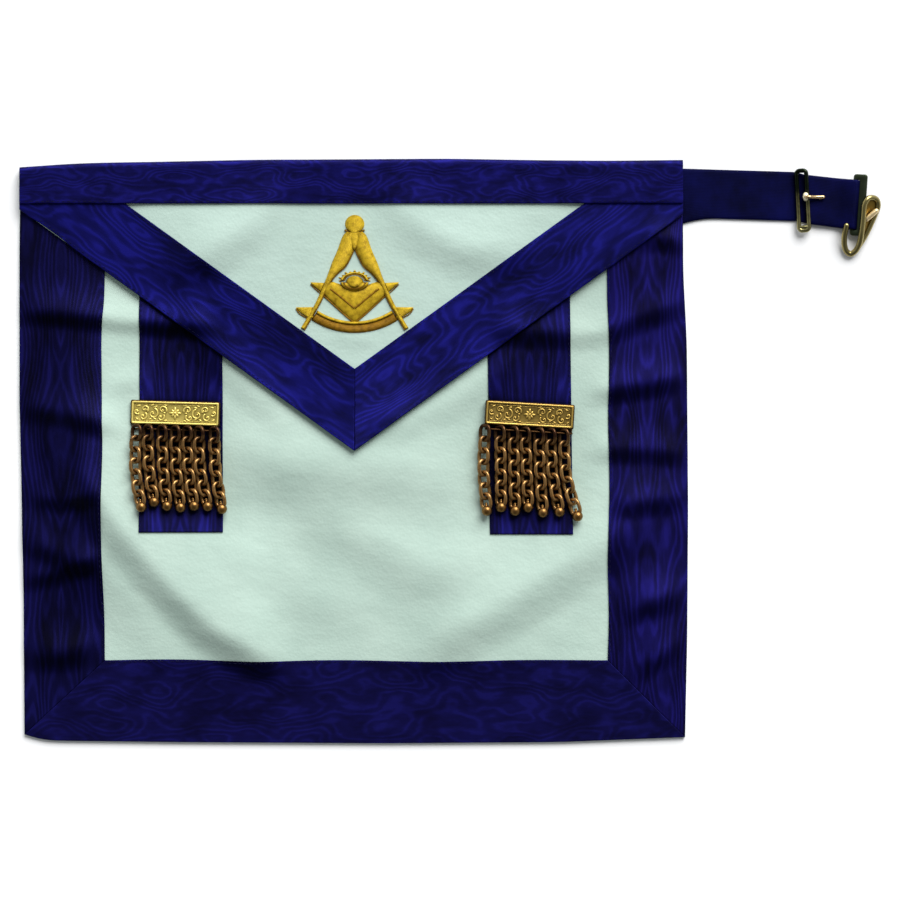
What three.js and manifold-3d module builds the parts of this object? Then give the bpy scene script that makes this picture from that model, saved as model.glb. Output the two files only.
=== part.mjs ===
// A ceremonial apron of white leather, laid flat on its back: dark blue ribbon borders, a pointed flap
// with raised gold embroidery, two plates with seven hanging chains each, and one end of its belt.
// Millimetres. The back of the panel lies on z = 0, the top edge is towards +Y, and the origin is the
// panel's centre.
import * as THREE from "three";
import { mergeVertices } from "three/addons/utils/BufferGeometryUtils.js";
import Module from "manifold-3d";

const wasm = await Module();
wasm.setup();

// Driving dimensions
const apronWidth = 406.4;
const apronHeight = 355.6;
const borderWidths = { left: 50.8, right: 48.2, bottom: 50.3 };
const bandWidth = 27.4;
const bandTuck = 8;
const leatherThickness = 1.2;
const ribbonThickness = 1.0;
const clearance = 0.3;
const foldHeight = 3.0;

const flapDrop = 177.8;
const flapSlope_deg = 35.75;
const flapTipAcross = 0.9;
const flapRibbonWidth = 40.6;

const tasselRibbonWidth = 50.6;
const tasselRibbonTuck = 4;

const plateLength = 54.2;
const plateWidth = 15;
const plateThickness = 4.4;
const plateWall = 1;
const plateRim = 1.3;
const plateRecess = 0.9;
const plateCorner = 0.8;
const reliefHeight = 0.6;
const rodDiameter = 1.2;

const ringWidth = 8.1;
const ringWire = 1.4;
const ringsPerChain = 7;
const ringTurn_deg = 45;
const ringSides = 10;
const ringWireSides = 5;
const ringFusing = 0.35;
const ballDiameter = 6.5;
const ballNeck = 1.4;
const ballNeckDiameter = 1.8;

const emblemHeight = 71.4;
const emblemGap = 7;
const stitchHeight = 1.4;

const beltWidth = 30;
const beltThickness = 1.3;
const beltDrop = 20.6;
const beltTuck = 45;
const beltFlare = 3.4;
const beltFlareLength = 12;

const sliderLength = 40.9;
const sliderWidth = 8.5;
const sliderWire = 2;
const sliderReach = 73.25;
const sliderTurn_deg = 3;
const tongueLength = 12.5;
const tongueWire = 1.5;

const endRingLength = 37.4;
const endRingWidth = 8.4;
const endRingThin = 2;
const endRingBroad = 3.6;
const endRingThickness = 2;
const endRingCorner = 1.6;
const endRingReach = 107.45;
const endRingTilt_deg = 12;
const endRingTurn_deg = -4;

const hookLength = 38.4;
const hookWire = 2.6;
const hookTongueWire = 2.2;

// The lattice that every layer of cloth shares, so that the layers stay parallel over the folds
const latticeColumns = 16;
const latticeRows = 14;
const latticeMargin = 8;

const finishes = {
  leather: { color: 0xdfe9e2, roughness: 0.55, metalness: 0 },
  ribbon: { color: 0x14125a, roughness: 0.45, metalness: 0 },
  gilt: { color: 0xc9a94a, roughness: 0.3, metalness: 1 },
  thread: { color: 0xb99a35, roughness: 0.5, metalness: 0.4 },
  webbing: { color: 0x0e1038, roughness: 0.8, metalness: 0 },
  brass: { color: 0x8c7a45, roughness: 0.3, metalness: 1 },
};

// The outline as shares of half the width and half the height, clockwise from the top left corner
const topEdge = [
  { across: -0.998, up: 0.971 },
  { across: -0.821, up: 0.985 },
  { across: -0.311, up: 0.997 },
  { across: 0.29, up: 1.001 },
  { across: 0.74, up: 0.992 },
  { across: 0.986, up: 0.995 },
];
const rightEdge = [
  { across: 0.989, up: 0.594 },
  { across: 1.0, up: 0.388 },
  { across: 1.004, up: -0.202 },
  { across: 1.001, up: -0.642 },
];
const lowerRightCorner = { across: 0.995, up: -0.981 };
const bottomEdge = [
  { across: 0.62, up: -0.998 },
  { across: 0.08, up: -1.002 },
  { across: -0.521, up: -0.998 },
  { across: -0.968, up: -0.992 },
];
const lowerLeftCorner = { across: -0.986, up: -0.971 };
const leftEdge = [
  { across: -0.989, up: -0.443 },
  { across: -1.001, up: 0.175 },
  { across: -1.001, up: 0.69 },
];

// The soft folds: centre as shares of half the width and half the height, half length and half width as
// shares of the apron's height, and height as a share of foldHeight
const folds = [
  { name: "lower left belly", across: -0.44, up: -0.52, turn_deg: -46, long: 0.24, wide: 0.12, high: 1.0 },
  { name: "lower right belly", across: 0.44, up: -0.54, turn_deg: 38, long: 0.23, wide: 0.11, high: 0.75 },
  { name: "below the tip", across: 0.2, up: -0.46, turn_deg: -40, long: 0.19, wide: 0.12, high: 0.6 },
  { name: "left of the emblem", across: -0.36, up: 0.78, turn_deg: 35, long: 0.15, wide: 0.08, high: 0.4 },
  { name: "right of the emblem", across: 0.37, up: 0.76, turn_deg: -33, long: 0.15, wide: 0.08, high: 0.45 },
  { name: "left border", across: -0.86, up: -0.27, turn_deg: 15, long: 0.14, wide: 0.09, high: 0.5 },
  { name: "right border", across: 0.87, up: -0.66, turn_deg: 20, long: 0.13, wide: 0.09, high: 0.45 },
];

// The two tassels, as shares of half the width and half the height: the ribbon's centre line, its lower
// end, and the plate's centre; then the plate's tilt, and which chains show their links
const tassels = [
  {
    side: "left",
    ribbonTop: -0.518,
    ribbonFoot: -0.514,
    ribbonEnd: -0.278,
    plateAcross: -0.532,
    plateUp: 0.129,
    tilt_deg: -1.6,
    linked: [],
  },
  {
    side: "right",
    ribbonTop: 0.522,
    ribbonFoot: 0.534,
    ribbonEnd: -0.285,
    plateAcross: 0.528,
    plateUp: 0.124,
    tilt_deg: -3.3,
    linked: [2, 3, 4, 5, 6],
  },
];

// The chains' routes, chosen by hand: how far each lies across from its plate's centre at the rod, halfway
// and at its ball, and how far its ball lies below the plate's centre
const chainRoutes = {
  left: [
    { rod: -22.8, halfway: -23.4, ball: -19.7, down: 56.8 },
    { rod: -16.0, halfway: -15.4, ball: -12.2, down: 53.7 },
    { rod: -7.5, halfway: -6.9, ball: -4.5, down: 56.2 },
    { rod: 0.4, halfway: 1.0, ball: 3.7, down: 57.1 },
    { rod: 7.7, halfway: 8.4, ball: 11.8, down: 56.2 },
    { rod: 14.8, halfway: 15.4, ball: 19.9, down: 56.5 },
    { rod: 24.1, halfway: 24.7, ball: 28.5, down: 58.0 },
  ],
  right: [
    { rod: -26.6, halfway: -28.0, ball: -26.0, down: 58.3 },
    { rod: -17.5, halfway: -17.5, ball: -17.3, down: 56.2 },
    { rod: -9.4, halfway: -9.4, ball: -8.8, down: 58.3 },
    { rod: -2.3, halfway: -1.8, ball: -0.9, down: 56.2 },
    { rod: 6.2, halfway: 6.3, ball: 8.1, down: 59.4 },
    { rod: 13.2, halfway: 13.8, ball: 18.1, down: 58.9 },
    { rod: 21.3, halfway: 22.1, ball: 29.0, down: 61.6 },
  ],
};

// The embroidery's left half in hundredths of its height, about its own centre
const embroidery = {
  knob: { up: 42.5, radius: 7.6 },
  collar: { up: 35.2, half: 9, height: 2.6 },
  leg: [
    { across: 0, up: 34.4 },
    { across: -9.4, up: 34.4 },
    { across: -21.4, up: 3.8 },
    { across: -25.2, up: -5.6 },
    { across: -27.4, up: -15.0 },
    { across: -44.9, up: -46.2 },
    { across: -42.1, up: -47.4 },
    { across: -23.4, up: -13.2 },
    { across: -18.4, up: -5.6 },
    { across: -9.8, up: 1.3 },
    { across: -4.7, up: 9.0 },
    { across: 0, up: 21.8 },
  ],
  square: [
    { across: 0, up: -22 },
    { across: -7.5, up: -13.4 },
    { across: -21.5, up: -9.0 },
    { across: -26.0, up: -13.4 },
    { across: 0, up: -40.5 },
  ],
  squareEnd: [
    { across: -24.0, up: -7.7 },
    { across: -37.1, up: -7.7 },
    { across: -27.0, up: -15.8 },
  ],
  arc: { up: 17.6, radius: 68, half_deg: 33, band: 9 },
  arcEnd: [
    { across: -32.5, up: -28.8 },
    { across: -50.4, up: -29.1 },
    { across: -42.7, up: -36.5 },
    { across: -35.5, up: -40.4 },
  ],
  sun: { up: -8.0, across: 9.4, height: 6.8, base: 6.6, rays: 9, ray: 4.2, spread_deg: 190 },
};
const stitchShares = { knob: 1.2, collar: 1, leg: 1, square: 0.8, arc: 0.8, sun: 1.1 };

// The plate's scrolls on its right half: centre and radius as shares of the plate's width, and the arc
// that each one sweeps
const scrolls = [
  { across: 0.62, up: -0.06, radius: 0.21, from_deg: -40, sweep_deg: 260 },
  { across: 1.02, up: 0.06, radius: 0.21, from_deg: 140, sweep_deg: 260 },
  { across: 1.4, up: -0.05, radius: 0.19, from_deg: -30, sweep_deg: 240 },
];
const scrollBand = 0.08;
const rosette = { petals: 8, outer: 0.3, inner: 0.18 };

// The hook's wire as shares of its length about the end ring's centre; rise is 0 where it lies on the
// ground and 1 where it passes over the ring
const hookRoute = [
  { across: -0.186, up: -0.291, rise: 1.0 },
  { across: -0.24, up: -0.45, rise: 0.82 },
  { across: -0.232, up: -0.64, rise: 0.3 },
  { across: -0.14, up: -0.812, rise: 0 },
  { across: -0.04, up: -0.72, rise: 0.3 },
  { across: 0.017, up: -0.577, rise: 0.85 },
  { across: 0.035, up: -0.418, rise: 1.0 },
  { across: 0.051, up: -0.195, rise: 1.0 },
  { across: 0.065, up: -0.005, rise: 1.0 },
  { across: 0.118, up: 0.094, rise: 0.95 },
  { across: 0.221, up: 0.122, rise: 0.6 },
  { across: 0.31, up: 0.059, rise: 0.25 },
  { across: 0.31, up: -0.044, rise: 0.1 },
  { across: 0.213, up: -0.227, rise: 0.05 },
  { across: 0.165, up: -0.37, rise: 0.05 },
  { across: 0.122, up: -0.5, rise: 0.15 },
  { across: 0.035, up: -0.6, rise: 0.7 },
];
const hookTongueRoute = [
  { across: 0.305, up: -0.013, rise: 0.1 },
  { across: 0.237, up: -0.108, rise: 0.05 },
  { across: 0.133, up: -0.195, rise: 0 },
  { across: 0.055, up: -0.23, rise: 0 },
];
const hookWeb = { across: 0.205, up: 0.02, radius: 0.09, thickness: 1.2, rise: 0.25 };

// The webbing's centre line in plan: nearly level to the slider, a step there, then a slope down
const beltLine = { firstSlope: -0.03, sliderStep: -1.8, secondSlope: -0.122 };

// Small helpers
const rad = THREE.MathUtils.degToRad;
const skyward = 60;

function asManifold(geometry) {
  const bare = geometry.clone();
  bare.deleteAttribute("normal");
  bare.deleteAttribute("uv");
  const merged = mergeVertices(bare, 1e-4);
  return new wasm.Manifold(
    new wasm.Mesh({
      numProp: 3,
      vertProperties: new Float32Array(merged.attributes.position.array),
      triVerts: new Uint32Array(merged.index.array),
    }),
  );
}

function asGeometry(solid) {
  const raw = solid.getMesh();
  const geometry = new THREE.BufferGeometry();
  geometry.setAttribute("position", new THREE.Float32BufferAttribute(raw.vertProperties, 3));
  geometry.setIndex(new THREE.Uint32BufferAttribute(raw.triVerts, 1));
  return geometry;
}

function unite(solids) {
  return solids.reduce((sum, solid) => sum.add(solid));
}

function prism(points, bottom = -skyward, top = skyward) {
  const shape = new THREE.Shape(points.map(({ x, y }) => new THREE.Vector2(x, y)));
  const geometry = new THREE.ExtrudeGeometry(shape, { depth: top - bottom, bevelEnabled: false });
  geometry.translate(0, 0, bottom);
  return asManifold(geometry);
}

function polygon(sides, radius) {
  return Array.from({ length: sides }, (_, k) => {
    const angle = (2 * Math.PI * (k + 0.5)) / sides;
    return new THREE.Vector2(radius * Math.cos(angle), radius * Math.sin(angle));
  });
}

function tube(curve, diameter, steps, sides = 8) {
  const section = new THREE.Shape(polygon(sides, diameter / 2));
  return asManifold(new THREE.ExtrudeGeometry(section, { steps, extrudePath: curve, bevelEnabled: false }));
}

function smooth(points) {
  return new THREE.CatmullRomCurve3(points, false, "centripetal");
}

function box(left, bottom, right, top) {
  return [
    { x: left, y: bottom },
    { x: right, y: bottom },
    { x: right, y: top },
    { x: left, y: top },
  ];
}

const apron = new THREE.Group();

function add(name, solid, finish, holder = apron) {
  const mesh = new THREE.Mesh(asGeometry(solid), new THREE.MeshStandardMaterial(finishes[finish]));
  mesh.name = name;
  holder.add(mesh);
}

// The ground that the layers lie on: the soft folds, and the rise over the belt's hidden end
const halfWidth = apronWidth / 2;
const halfHeight = apronHeight / 2;
const columnStep = (apronWidth + 2 * latticeMargin) / latticeColumns;
const rowStep = (apronHeight + 2 * latticeMargin) / latticeRows;
const beltStart = topEdge.at(-1).across * halfWidth;
const beltUp = halfHeight - beltDrop;

function foldAt(x, y, fold) {
  const dx = x - fold.across * halfWidth;
  const dy = y - fold.up * halfHeight;
  const turn = rad(fold.turn_deg);
  const along = (dx * Math.cos(turn) + dy * Math.sin(turn)) / (fold.long * apronHeight);
  const across = (-dx * Math.sin(turn) + dy * Math.cos(turn)) / (fold.wide * apronHeight);
  const reach = along * along + across * across;
  return reach < 1 ? fold.high * foldHeight * (1 - reach) ** 2 : 0;
}

function beltLiftAt(x, y) {
  const left = beltStart - beltTuck;
  const low = beltUp - beltWidth / 2 - beltFlare;
  const high = beltUp + beltWidth / 2;
  const outside = Math.max((left - x) / columnStep, (low - y) / rowStep, (y - high) / rowStep, 0);
  return (beltThickness + clearance) * THREE.MathUtils.clamp(2 - outside, 0, 1);
}

function latticePoint(i, j) {
  return { x: i * columnStep - halfWidth - latticeMargin, y: j * rowStep - halfHeight - latticeMargin };
}

function latticeHeight(i, j) {
  const { x, y } = latticePoint(i, j);
  return folds.reduce((sum, fold) => sum + foldAt(x, y, fold), beltLiftAt(x, y));
}

// The ground's height between lattice points, flat over each half of a cell
function groundAt(x, y) {
  const column = (x + halfWidth + latticeMargin) / columnStep;
  const row = (y + halfHeight + latticeMargin) / rowStep;
  const [i, j] = [Math.floor(column), Math.floor(row)];
  const [u, v] = [column - i, row - j];
  const low = latticeHeight(i, j);
  const high = latticeHeight(i + 1, j + 1);
  const corner = u >= v ? latticeHeight(i + 1, j) : latticeHeight(i, j + 1);
  const [first, second] = u >= v ? [u, v] : [v, u];
  return low + first * (corner - low) + second * (high - corner);
}

// A layer of cloth over the whole lattice, between two heights above the ground
function layer(bottom, top) {
  const positions = [];
  const faces = [];
  const inRow = latticeColumns + 1;
  const inLayer = inRow * (latticeRows + 1);
  const at = (i, j) => j * inRow + i;
  for (const rise of [bottom, top]) {
    for (let j = 0; j <= latticeRows; j++) {
      for (let i = 0; i <= latticeColumns; i++) {
        const { x, y } = latticePoint(i, j);
        positions.push(x, y, latticeHeight(i, j) + rise);
      }
    }
  }
  for (let j = 0; j < latticeRows; j++) {
    for (let i = 0; i < latticeColumns; i++) {
      const [a, b, c, d] = [at(i, j), at(i + 1, j), at(i + 1, j + 1), at(i, j + 1)];
      faces.push(a, c, b, a, d, c);
      faces.push(...[a, b, c, a, c, d].map((index) => index + inLayer));
    }
  }
  const rim = [];
  for (let i = 0; i < latticeColumns; i++) rim.push(at(i, 0));
  for (let j = 0; j < latticeRows; j++) rim.push(at(latticeColumns, j));
  for (let i = latticeColumns; i > 0; i--) rim.push(at(i, latticeRows));
  for (let j = latticeRows; j > 0; j--) rim.push(at(0, j));
  rim.forEach((a, k) => {
    const b = rim[(k + 1) % rim.length];
    faces.push(a, b, b + inLayer, a, b + inLayer, a + inLayer);
  });
  const geometry = new THREE.BufferGeometry();
  geometry.setAttribute("position", new THREE.Float32BufferAttribute(positions, 3));
  geometry.setIndex(faces);
  return asManifold(geometry);
}

// A piece of cloth: one layer, cut to every outline given
function cloth(level, thickness, ...outlines) {
  return outlines.reduce((piece, points) => piece.intersect(prism(points)), layer(level, level + thickness));
}

// Heights of the layers above the ground
const borderLevel = leatherThickness + clearance;
const flapLevel = borderLevel + ribbonThickness + clearance;
const flapRibbonLevel = flapLevel + leatherThickness + clearance;
const bandLevel = flapRibbonLevel + ribbonThickness + clearance;

// The apron's outline, with its top edge drawn in by as much as asked
const scaled = ({ across, up }, drawnIn = 0) => ({ x: across * halfWidth, y: up * halfHeight - drawnIn });

function apronOutline(drawnIn = 0) {
  const rest = [...rightEdge, lowerRightCorner, ...bottomEdge, lowerLeftCorner, ...leftEdge];
  return [...topEdge.map((point) => scaled(point, drawnIn)), ...rest.map((point) => scaled(point))];
}
const bodyOutline = apronOutline(ribbonThickness + clearance);

// The panel and its three borders, which meet in mitres at the lower corners
const far = 2 * Math.max(apronWidth, apronHeight);
const innerLeft = -halfWidth + borderWidths.left;
const innerRight = halfWidth - borderWidths.right;
const innerBottom = -halfHeight + borderWidths.bottom;
const mitreStep = clearance / Math.cos(rad(45));

function mitreEnd(x, corner) {
  const reach = 3;
  const { x: cornerX, y: cornerY } = scaled(corner);
  return { x: x + reach * (cornerX - x), y: innerBottom + reach * (cornerY - innerBottom) };
}
const leftMitre = mitreEnd(innerLeft, lowerLeftCorner);
const rightMitre = mitreEnd(innerRight, lowerRightCorner);

function sideBorder(sign, inner, mitre) {
  return [
    { x: sign * far, y: far },
    { x: inner, y: far },
    { x: inner, y: innerBottom + mitreStep },
    { x: mitre.x, y: mitre.y + mitreStep },
    { x: sign * far, y: mitre.y + mitreStep },
  ];
}
const bottomBorder = [
  { x: innerLeft, y: innerBottom },
  leftMitre,
  rightMitre,
  { x: innerRight, y: innerBottom },
];
const ribbonPiece = (outline) => cloth(borderLevel, ribbonThickness, bodyOutline, outline);

add("body_panel", cloth(0, leatherThickness, bodyOutline), "leather");
add("border_left", ribbonPiece(sideBorder(-1, innerLeft, leftMitre)), "ribbon");
add("border_right", ribbonPiece(sideBorder(1, innerRight, rightMitre)), "ribbon");
add("border_bottom", ribbonPiece(bottomBorder), "ribbon");

// The flap, and the two ribbons along its edges, which meet in a mitre at its tip
const bandLow = halfHeight - bandWidth;
const tip = { x: flapTipAcross, y: halfHeight - flapDrop };
const flapRise = Math.tan(rad(flapSlope_deg));
const ribbonRise = flapRibbonWidth / Math.cos(rad(flapSlope_deg));

function flapEdge(across, lift) {
  return { x: tip.x + across, y: tip.y + Math.abs(across) * flapRise + lift };
}

function flapRibbon(sign) {
  const seam = (sign * clearance) / 2;
  return [
    flapEdge(seam, 0),
    flapEdge(sign * far, 0),
    flapEdge(sign * far, ribbonRise),
    flapEdge(seam, ribbonRise),
  ];
}
const flapOutline = [flapEdge(-far, 0), flapEdge(0, 0), flapEdge(far, 0)];
const belowTuck = box(-far, -far, far, bandLow + bandTuck);

add("flap_panel", cloth(flapLevel, leatherThickness, bodyOutline, flapOutline), "leather");
for (const [side, sign] of Object.entries({ left: -1, right: 1 })) {
  const ribbon = cloth(flapRibbonLevel, ribbonThickness, bodyOutline, flapRibbon(sign), belowTuck);
  add("flap_ribbon_" + side, ribbon, "ribbon");
}

// The top band lies over the flap's root and turns down over the top edge
const bandFront = cloth(bandLevel, ribbonThickness, apronOutline(), box(-far, bandLow, far, far));
const lip = [
  ...topEdge.map((point) => scaled(point)),
  ...topEdge.map((point) => scaled(point, ribbonThickness)).reverse(),
];
add("top_band", bandFront.add(cloth(0, bandLevel + ribbonThickness, lip)), "ribbon");

// The raised embroidery: compasses over a square, an arc and a small sun
const stitch = emblemHeight / 100;
const emblemUp = bandLow - emblemGap - emblemHeight / 2;
const stitchPlace = ({ across, up }) => ({ x: flapTipAcross + across * stitch, y: emblemUp + up * stitch });
const mirrored = (points) => points.map(({ across, up }) => ({ across: -across, up })).reverse();
const offAxis = ({ across }) => across < 0;

function stitched(points, share) {
  return cloth(flapRibbonLevel, share * stitchHeight, points.map(stitchPlace));
}

function disc({ up, radius }, sides) {
  return polygon(sides, radius).map(({ x, y }) => ({ across: x, up: up + y }));
}

function bar({ up, half, height }) {
  return box(-half, up - height / 2, half, up + height / 2).map(({ x, y }) => ({ across: x, up: y }));
}

function arcBand({ up, radius, half_deg, band }, steps) {
  const place = (r) => (_, k) => {
    const angle = rad(-90 - half_deg + (2 * half_deg * k) / steps);
    return { across: r * Math.cos(angle), up: up + r * Math.sin(angle) };
  };
  const outer = Array.from({ length: steps + 1 }, place(radius));
  const inner = Array.from({ length: steps + 1 }, place(radius - band));
  return [...outer, ...inner.reverse()];
}

// The sun is a low dome with rays, and its straight base stands on the square
function sunPatch({ up, across, height, base, rays, ray, spread_deg }) {
  const from = 90 - spread_deg / 2;
  const place = (degrees, reach) => ({
    across: (across + reach) * Math.cos(rad(degrees)),
    up: up + (height + reach) * Math.sin(rad(degrees)),
  });
  const above = Array.from({ length: 2 * rays + 1 }, (_, k) =>
    place(from + (spread_deg * k) / (2 * rays), k % 2 ? ray : 0),
  );
  return [...above, { across: -across, up: up - base }, { across, up: up - base }];
}

function emblemSolid() {
  const { knob, collar, leg, square, squareEnd, arc, arcEnd, sun } = embroidery;
  const discSides = 10;
  const arcSteps = 10;
  return unite([
    stitched(disc(knob, discSides), stitchShares.knob),
    stitched(bar(collar), stitchShares.collar),
    stitched([...leg, ...mirrored(leg.filter(offAxis))], stitchShares.leg),
    stitched([...square, ...mirrored(square.filter(offAxis))], stitchShares.square),
    stitched(squareEnd, stitchShares.square),
    stitched(mirrored(squareEnd), stitchShares.square),
    stitched(arcBand(arc, arcSteps), stitchShares.arc),
    stitched(arcEnd, stitchShares.arc),
    stitched(mirrored(arcEnd), stitchShares.arc),
    stitched(sunPatch(sun), stitchShares.sun),
  ]);
}
add("emblem", emblemSolid(), "thread");

// The tassels' ribbons come out from under the flap
function tasselRibbon({ ribbonTop, ribbonFoot, ribbonEnd }) {
  const half = tasselRibbonWidth / 2;
  const [low, high] = [ribbonEnd * halfHeight, bandLow - tasselRibbonTuck];
  const [foot, root] = [ribbonFoot * halfWidth, ribbonTop * halfWidth];
  return [
    { x: foot - half, y: low },
    { x: foot + half, y: low },
    { x: root + half, y: high },
    { x: root - half, y: high },
  ];
}

// The plate is a shallow pressed box, open at the back, with its ornament standing in a sunk field
const tasselLevel = borderLevel + ribbonThickness + clearance;
const ringTall = ((ringWidth - ringWire) / 2) * Math.sin(rad(ringTurn_deg)) + ringWire / 2;
const chainRise = Math.max(ringTall, ballDiameter / 2);
const rodDown = plateWidth / 2 + 2 * clearance + ringWire + rodDiameter / 2;

function roundedRectangle(length, width, corner) {
  const [x, y] = [length / 2 - corner, width / 2 - corner];
  const shape = new THREE.Shape();
  shape.absarc(x, -y, corner, -Math.PI / 2, 0);
  shape.absarc(x, y, corner, 0, Math.PI / 2);
  shape.absarc(-x, y, corner, Math.PI / 2, Math.PI);
  shape.absarc(-x, -y, corner, Math.PI, 1.5 * Math.PI);
  return shape.getPoints(2).slice(0, -1);
}

function insetBox(inset) {
  const [x, y] = [plateLength / 2 - inset, plateWidth / 2 - inset];
  return box(-x, -y, x, y);
}

function scrollPatch({ across, up, radius, from_deg, sweep_deg }) {
  const steps = 6;
  const place = (r) => (_, k) => {
    const angle = rad(from_deg + (sweep_deg * k) / steps);
    return { x: (across + r * Math.cos(angle)) * plateWidth, y: (up + r * Math.sin(angle)) * plateWidth };
  };
  const outer = Array.from({ length: steps + 1 }, place(radius));
  const inner = Array.from({ length: steps + 1 }, place(radius - scrollBand));
  return [...outer, ...inner.reverse()];
}

function rosettePatch({ petals, outer, inner }) {
  return Array.from({ length: 2 * petals }, (_, k) => {
    const reach = (k % 2 ? inner : outer) * plateWidth;
    const angle = (Math.PI * k) / petals;
    return { x: reach * Math.cos(angle), y: reach * Math.sin(angle) };
  });
}

// Two stubs carry the rod, in the widest spaces between the chains
function stubPlaces(routes) {
  const spaces = routes.slice(1).map((route, k) => ({
    width: route.rod - routes[k].rod,
    middle: (route.rod + routes[k].rod) / 2,
  }));
  spaces.sort((a, b) => b.width - a.width);
  return spaces.slice(0, 2).map(({ middle }) => middle);
}

function plateSolid(routes) {
  const field = plateThickness - plateRecess;
  const flip = (points) => points.map(({ x, y }) => ({ x: -x, y })).reverse();
  const patches = scrolls.map(scrollPatch);
  const ornament = [rosettePatch(rosette), ...patches, ...patches.map(flip)];
  const rod = new THREE.CylinderGeometry(rodDiameter / 2, rodDiameter / 2, plateLength, 6);
  rod.rotateZ(Math.PI / 2);
  rod.translate(0, -rodDown, chainRise);
  const stub = (x) =>
    prism(
      box(x - rodDiameter / 2, -rodDown, x + rodDiameter / 2, (plateWall - plateWidth) / 2),
      chainRise - rodDiameter / 2,
      chainRise + rodDiameter / 2,
    );
  const shell = prism(roundedRectangle(plateLength, plateWidth, plateCorner), 0, plateThickness)
    .subtract(prism(insetBox(plateRim), field))
    .subtract(prism(insetBox(plateWall), -skyward, field - plateWall));
  return unite([
    shell,
    ...ornament.map((points) => prism(points, field - plateWall / 2, field + reliefHeight)),
    asManifold(rod),
    ...stubPlaces(routes).map(stub),
  ]);
}

const plateCentre = ({ plateAcross, plateUp }) => ({ x: plateAcross * halfWidth, y: plateUp * halfHeight });

// A chain's measures: from the rod's centre to the ball's centre, shared between its rings
function chainPath(tassel, route) {
  const tilt = rad(tassel.tilt_deg);
  const start = new THREE.Vector2(
    route.rod * Math.cos(tilt) + rodDown * Math.sin(tilt),
    route.rod * Math.sin(tilt) - rodDown * Math.cos(tilt),
  );
  const end = new THREE.Vector2(route.ball, -route.down);
  const middle = new THREE.Vector2(route.halfway, (start.y + end.y) / 2);
  const points = [start, middle, end].map(({ x, y }) => new THREE.Vector3(x, y, 0));
  const curve = smooth(points);
  const length = curve.getLength();
  const ends = ballNeck + ballDiameter / 2 - ringWire - rodDiameter / 2 - 2 * clearance;
  const pitch = (length - ends + 2 * ringFusing) / ringsPerChain;
  return { curve, length, pitch, ringLength: pitch - ringFusing + 2 * ringWire };
}

// A place on the chain's route, level with the chain where it lies on its ribbon
function alongChain(tassel, path, distance) {
  const share = THREE.MathUtils.clamp(distance / path.length, 0, 1);
  const point = path.curve.getPointAt(share);
  const tangent = path.curve.getTangentAt(share);
  const plate = plateCentre(tassel);
  const ground = groundAt(plate.x + point.x, plate.y + point.y);
  return {
    x: point.x,
    y: point.y,
    z: ground + tasselLevel + chainRise,
    turn: Math.atan2(tangent.y, tangent.x) + Math.PI / 2,
  };
}

function placed(solid, place) {
  return solid.rotate([0, 0, THREE.MathUtils.radToDeg(place.turn)]).translate([place.x, place.y, place.z]);
}

// An oval ring along Y, turned about its own length by the sign given
function ring(length, sign) {
  const radius = (ringWidth - ringWire) / 2;
  const geometry = new THREE.TorusGeometry(radius, ringWire / 2, ringWireSides, ringSides);
  geometry.rotateZ(Math.PI / 2);
  geometry.scale(1, (length - ringWire) / (ringWidth - ringWire), 1);
  geometry.rotateY(sign * rad(ringTurn_deg));
  return asManifold(geometry);
}

// The ball hangs down from its neck's upper end, which is the origin
function ball() {
  const [radius, sides] = [ballDiameter / 2, 10];
  const centre = -ballNeck - radius;
  const latitudes = [-90, -40, 5, 50];
  const profile = latitudes.map((degrees) => {
    const across = degrees === -90 ? 0 : radius * Math.cos(rad(degrees));
    return new THREE.Vector2(across, centre + radius * Math.sin(rad(degrees)));
  });
  profile.push(new THREE.Vector2(ballNeckDiameter / 2, 0), new THREE.Vector2(0, 0));
  return asManifold(new THREE.LatheGeometry(profile, sides));
}

function firstRing(path) {
  return path.ringLength / 2 - ringWire - clearance - rodDiameter / 2;
}

function linkedChain(tassel, path) {
  const rings = Array.from({ length: ringsPerChain - 1 }, (_, k) => {
    const place = alongChain(tassel, path, firstRing(path) + k * path.pitch);
    return placed(ring(path.ringLength, k % 2 ? 1 : -1), place);
  });
  return unite(rings);
}

// The chain in plain outline, from just below its rod to just above its ball's neck
function plainChain(tassel, path) {
  const from = rodDiameter / 2 + clearance;
  const to = path.length - ballDiameter / 2 - ballNeck - clearance;
  const steps = 4;
  const points = Array.from({ length: steps + 1 }, (_, k) => {
    const { x, y, z } = alongChain(tassel, path, from + ((to - from) * k) / steps);
    return new THREE.Vector3(x, y, z);
  });
  return tube(smooth(points), 2 * ringTall, steps);
}

// The last ring belongs to the ball, and hangs in the chain's last ring but one
function ballOnRing(tassel, path) {
  const last = firstRing(path) + (ringsPerChain - 1) * path.pitch - ringFusing - clearance;
  const sign = ringsPerChain % 2 ? -1 : 1;
  const neckTop = path.length - ballDiameter / 2 - ballNeck;
  const loop = placed(ring(path.ringLength, sign), alongChain(tassel, path, last));
  return placed(ball(), alongChain(tassel, path, neckTop - ringWire / 2)).add(loop);
}

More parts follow.
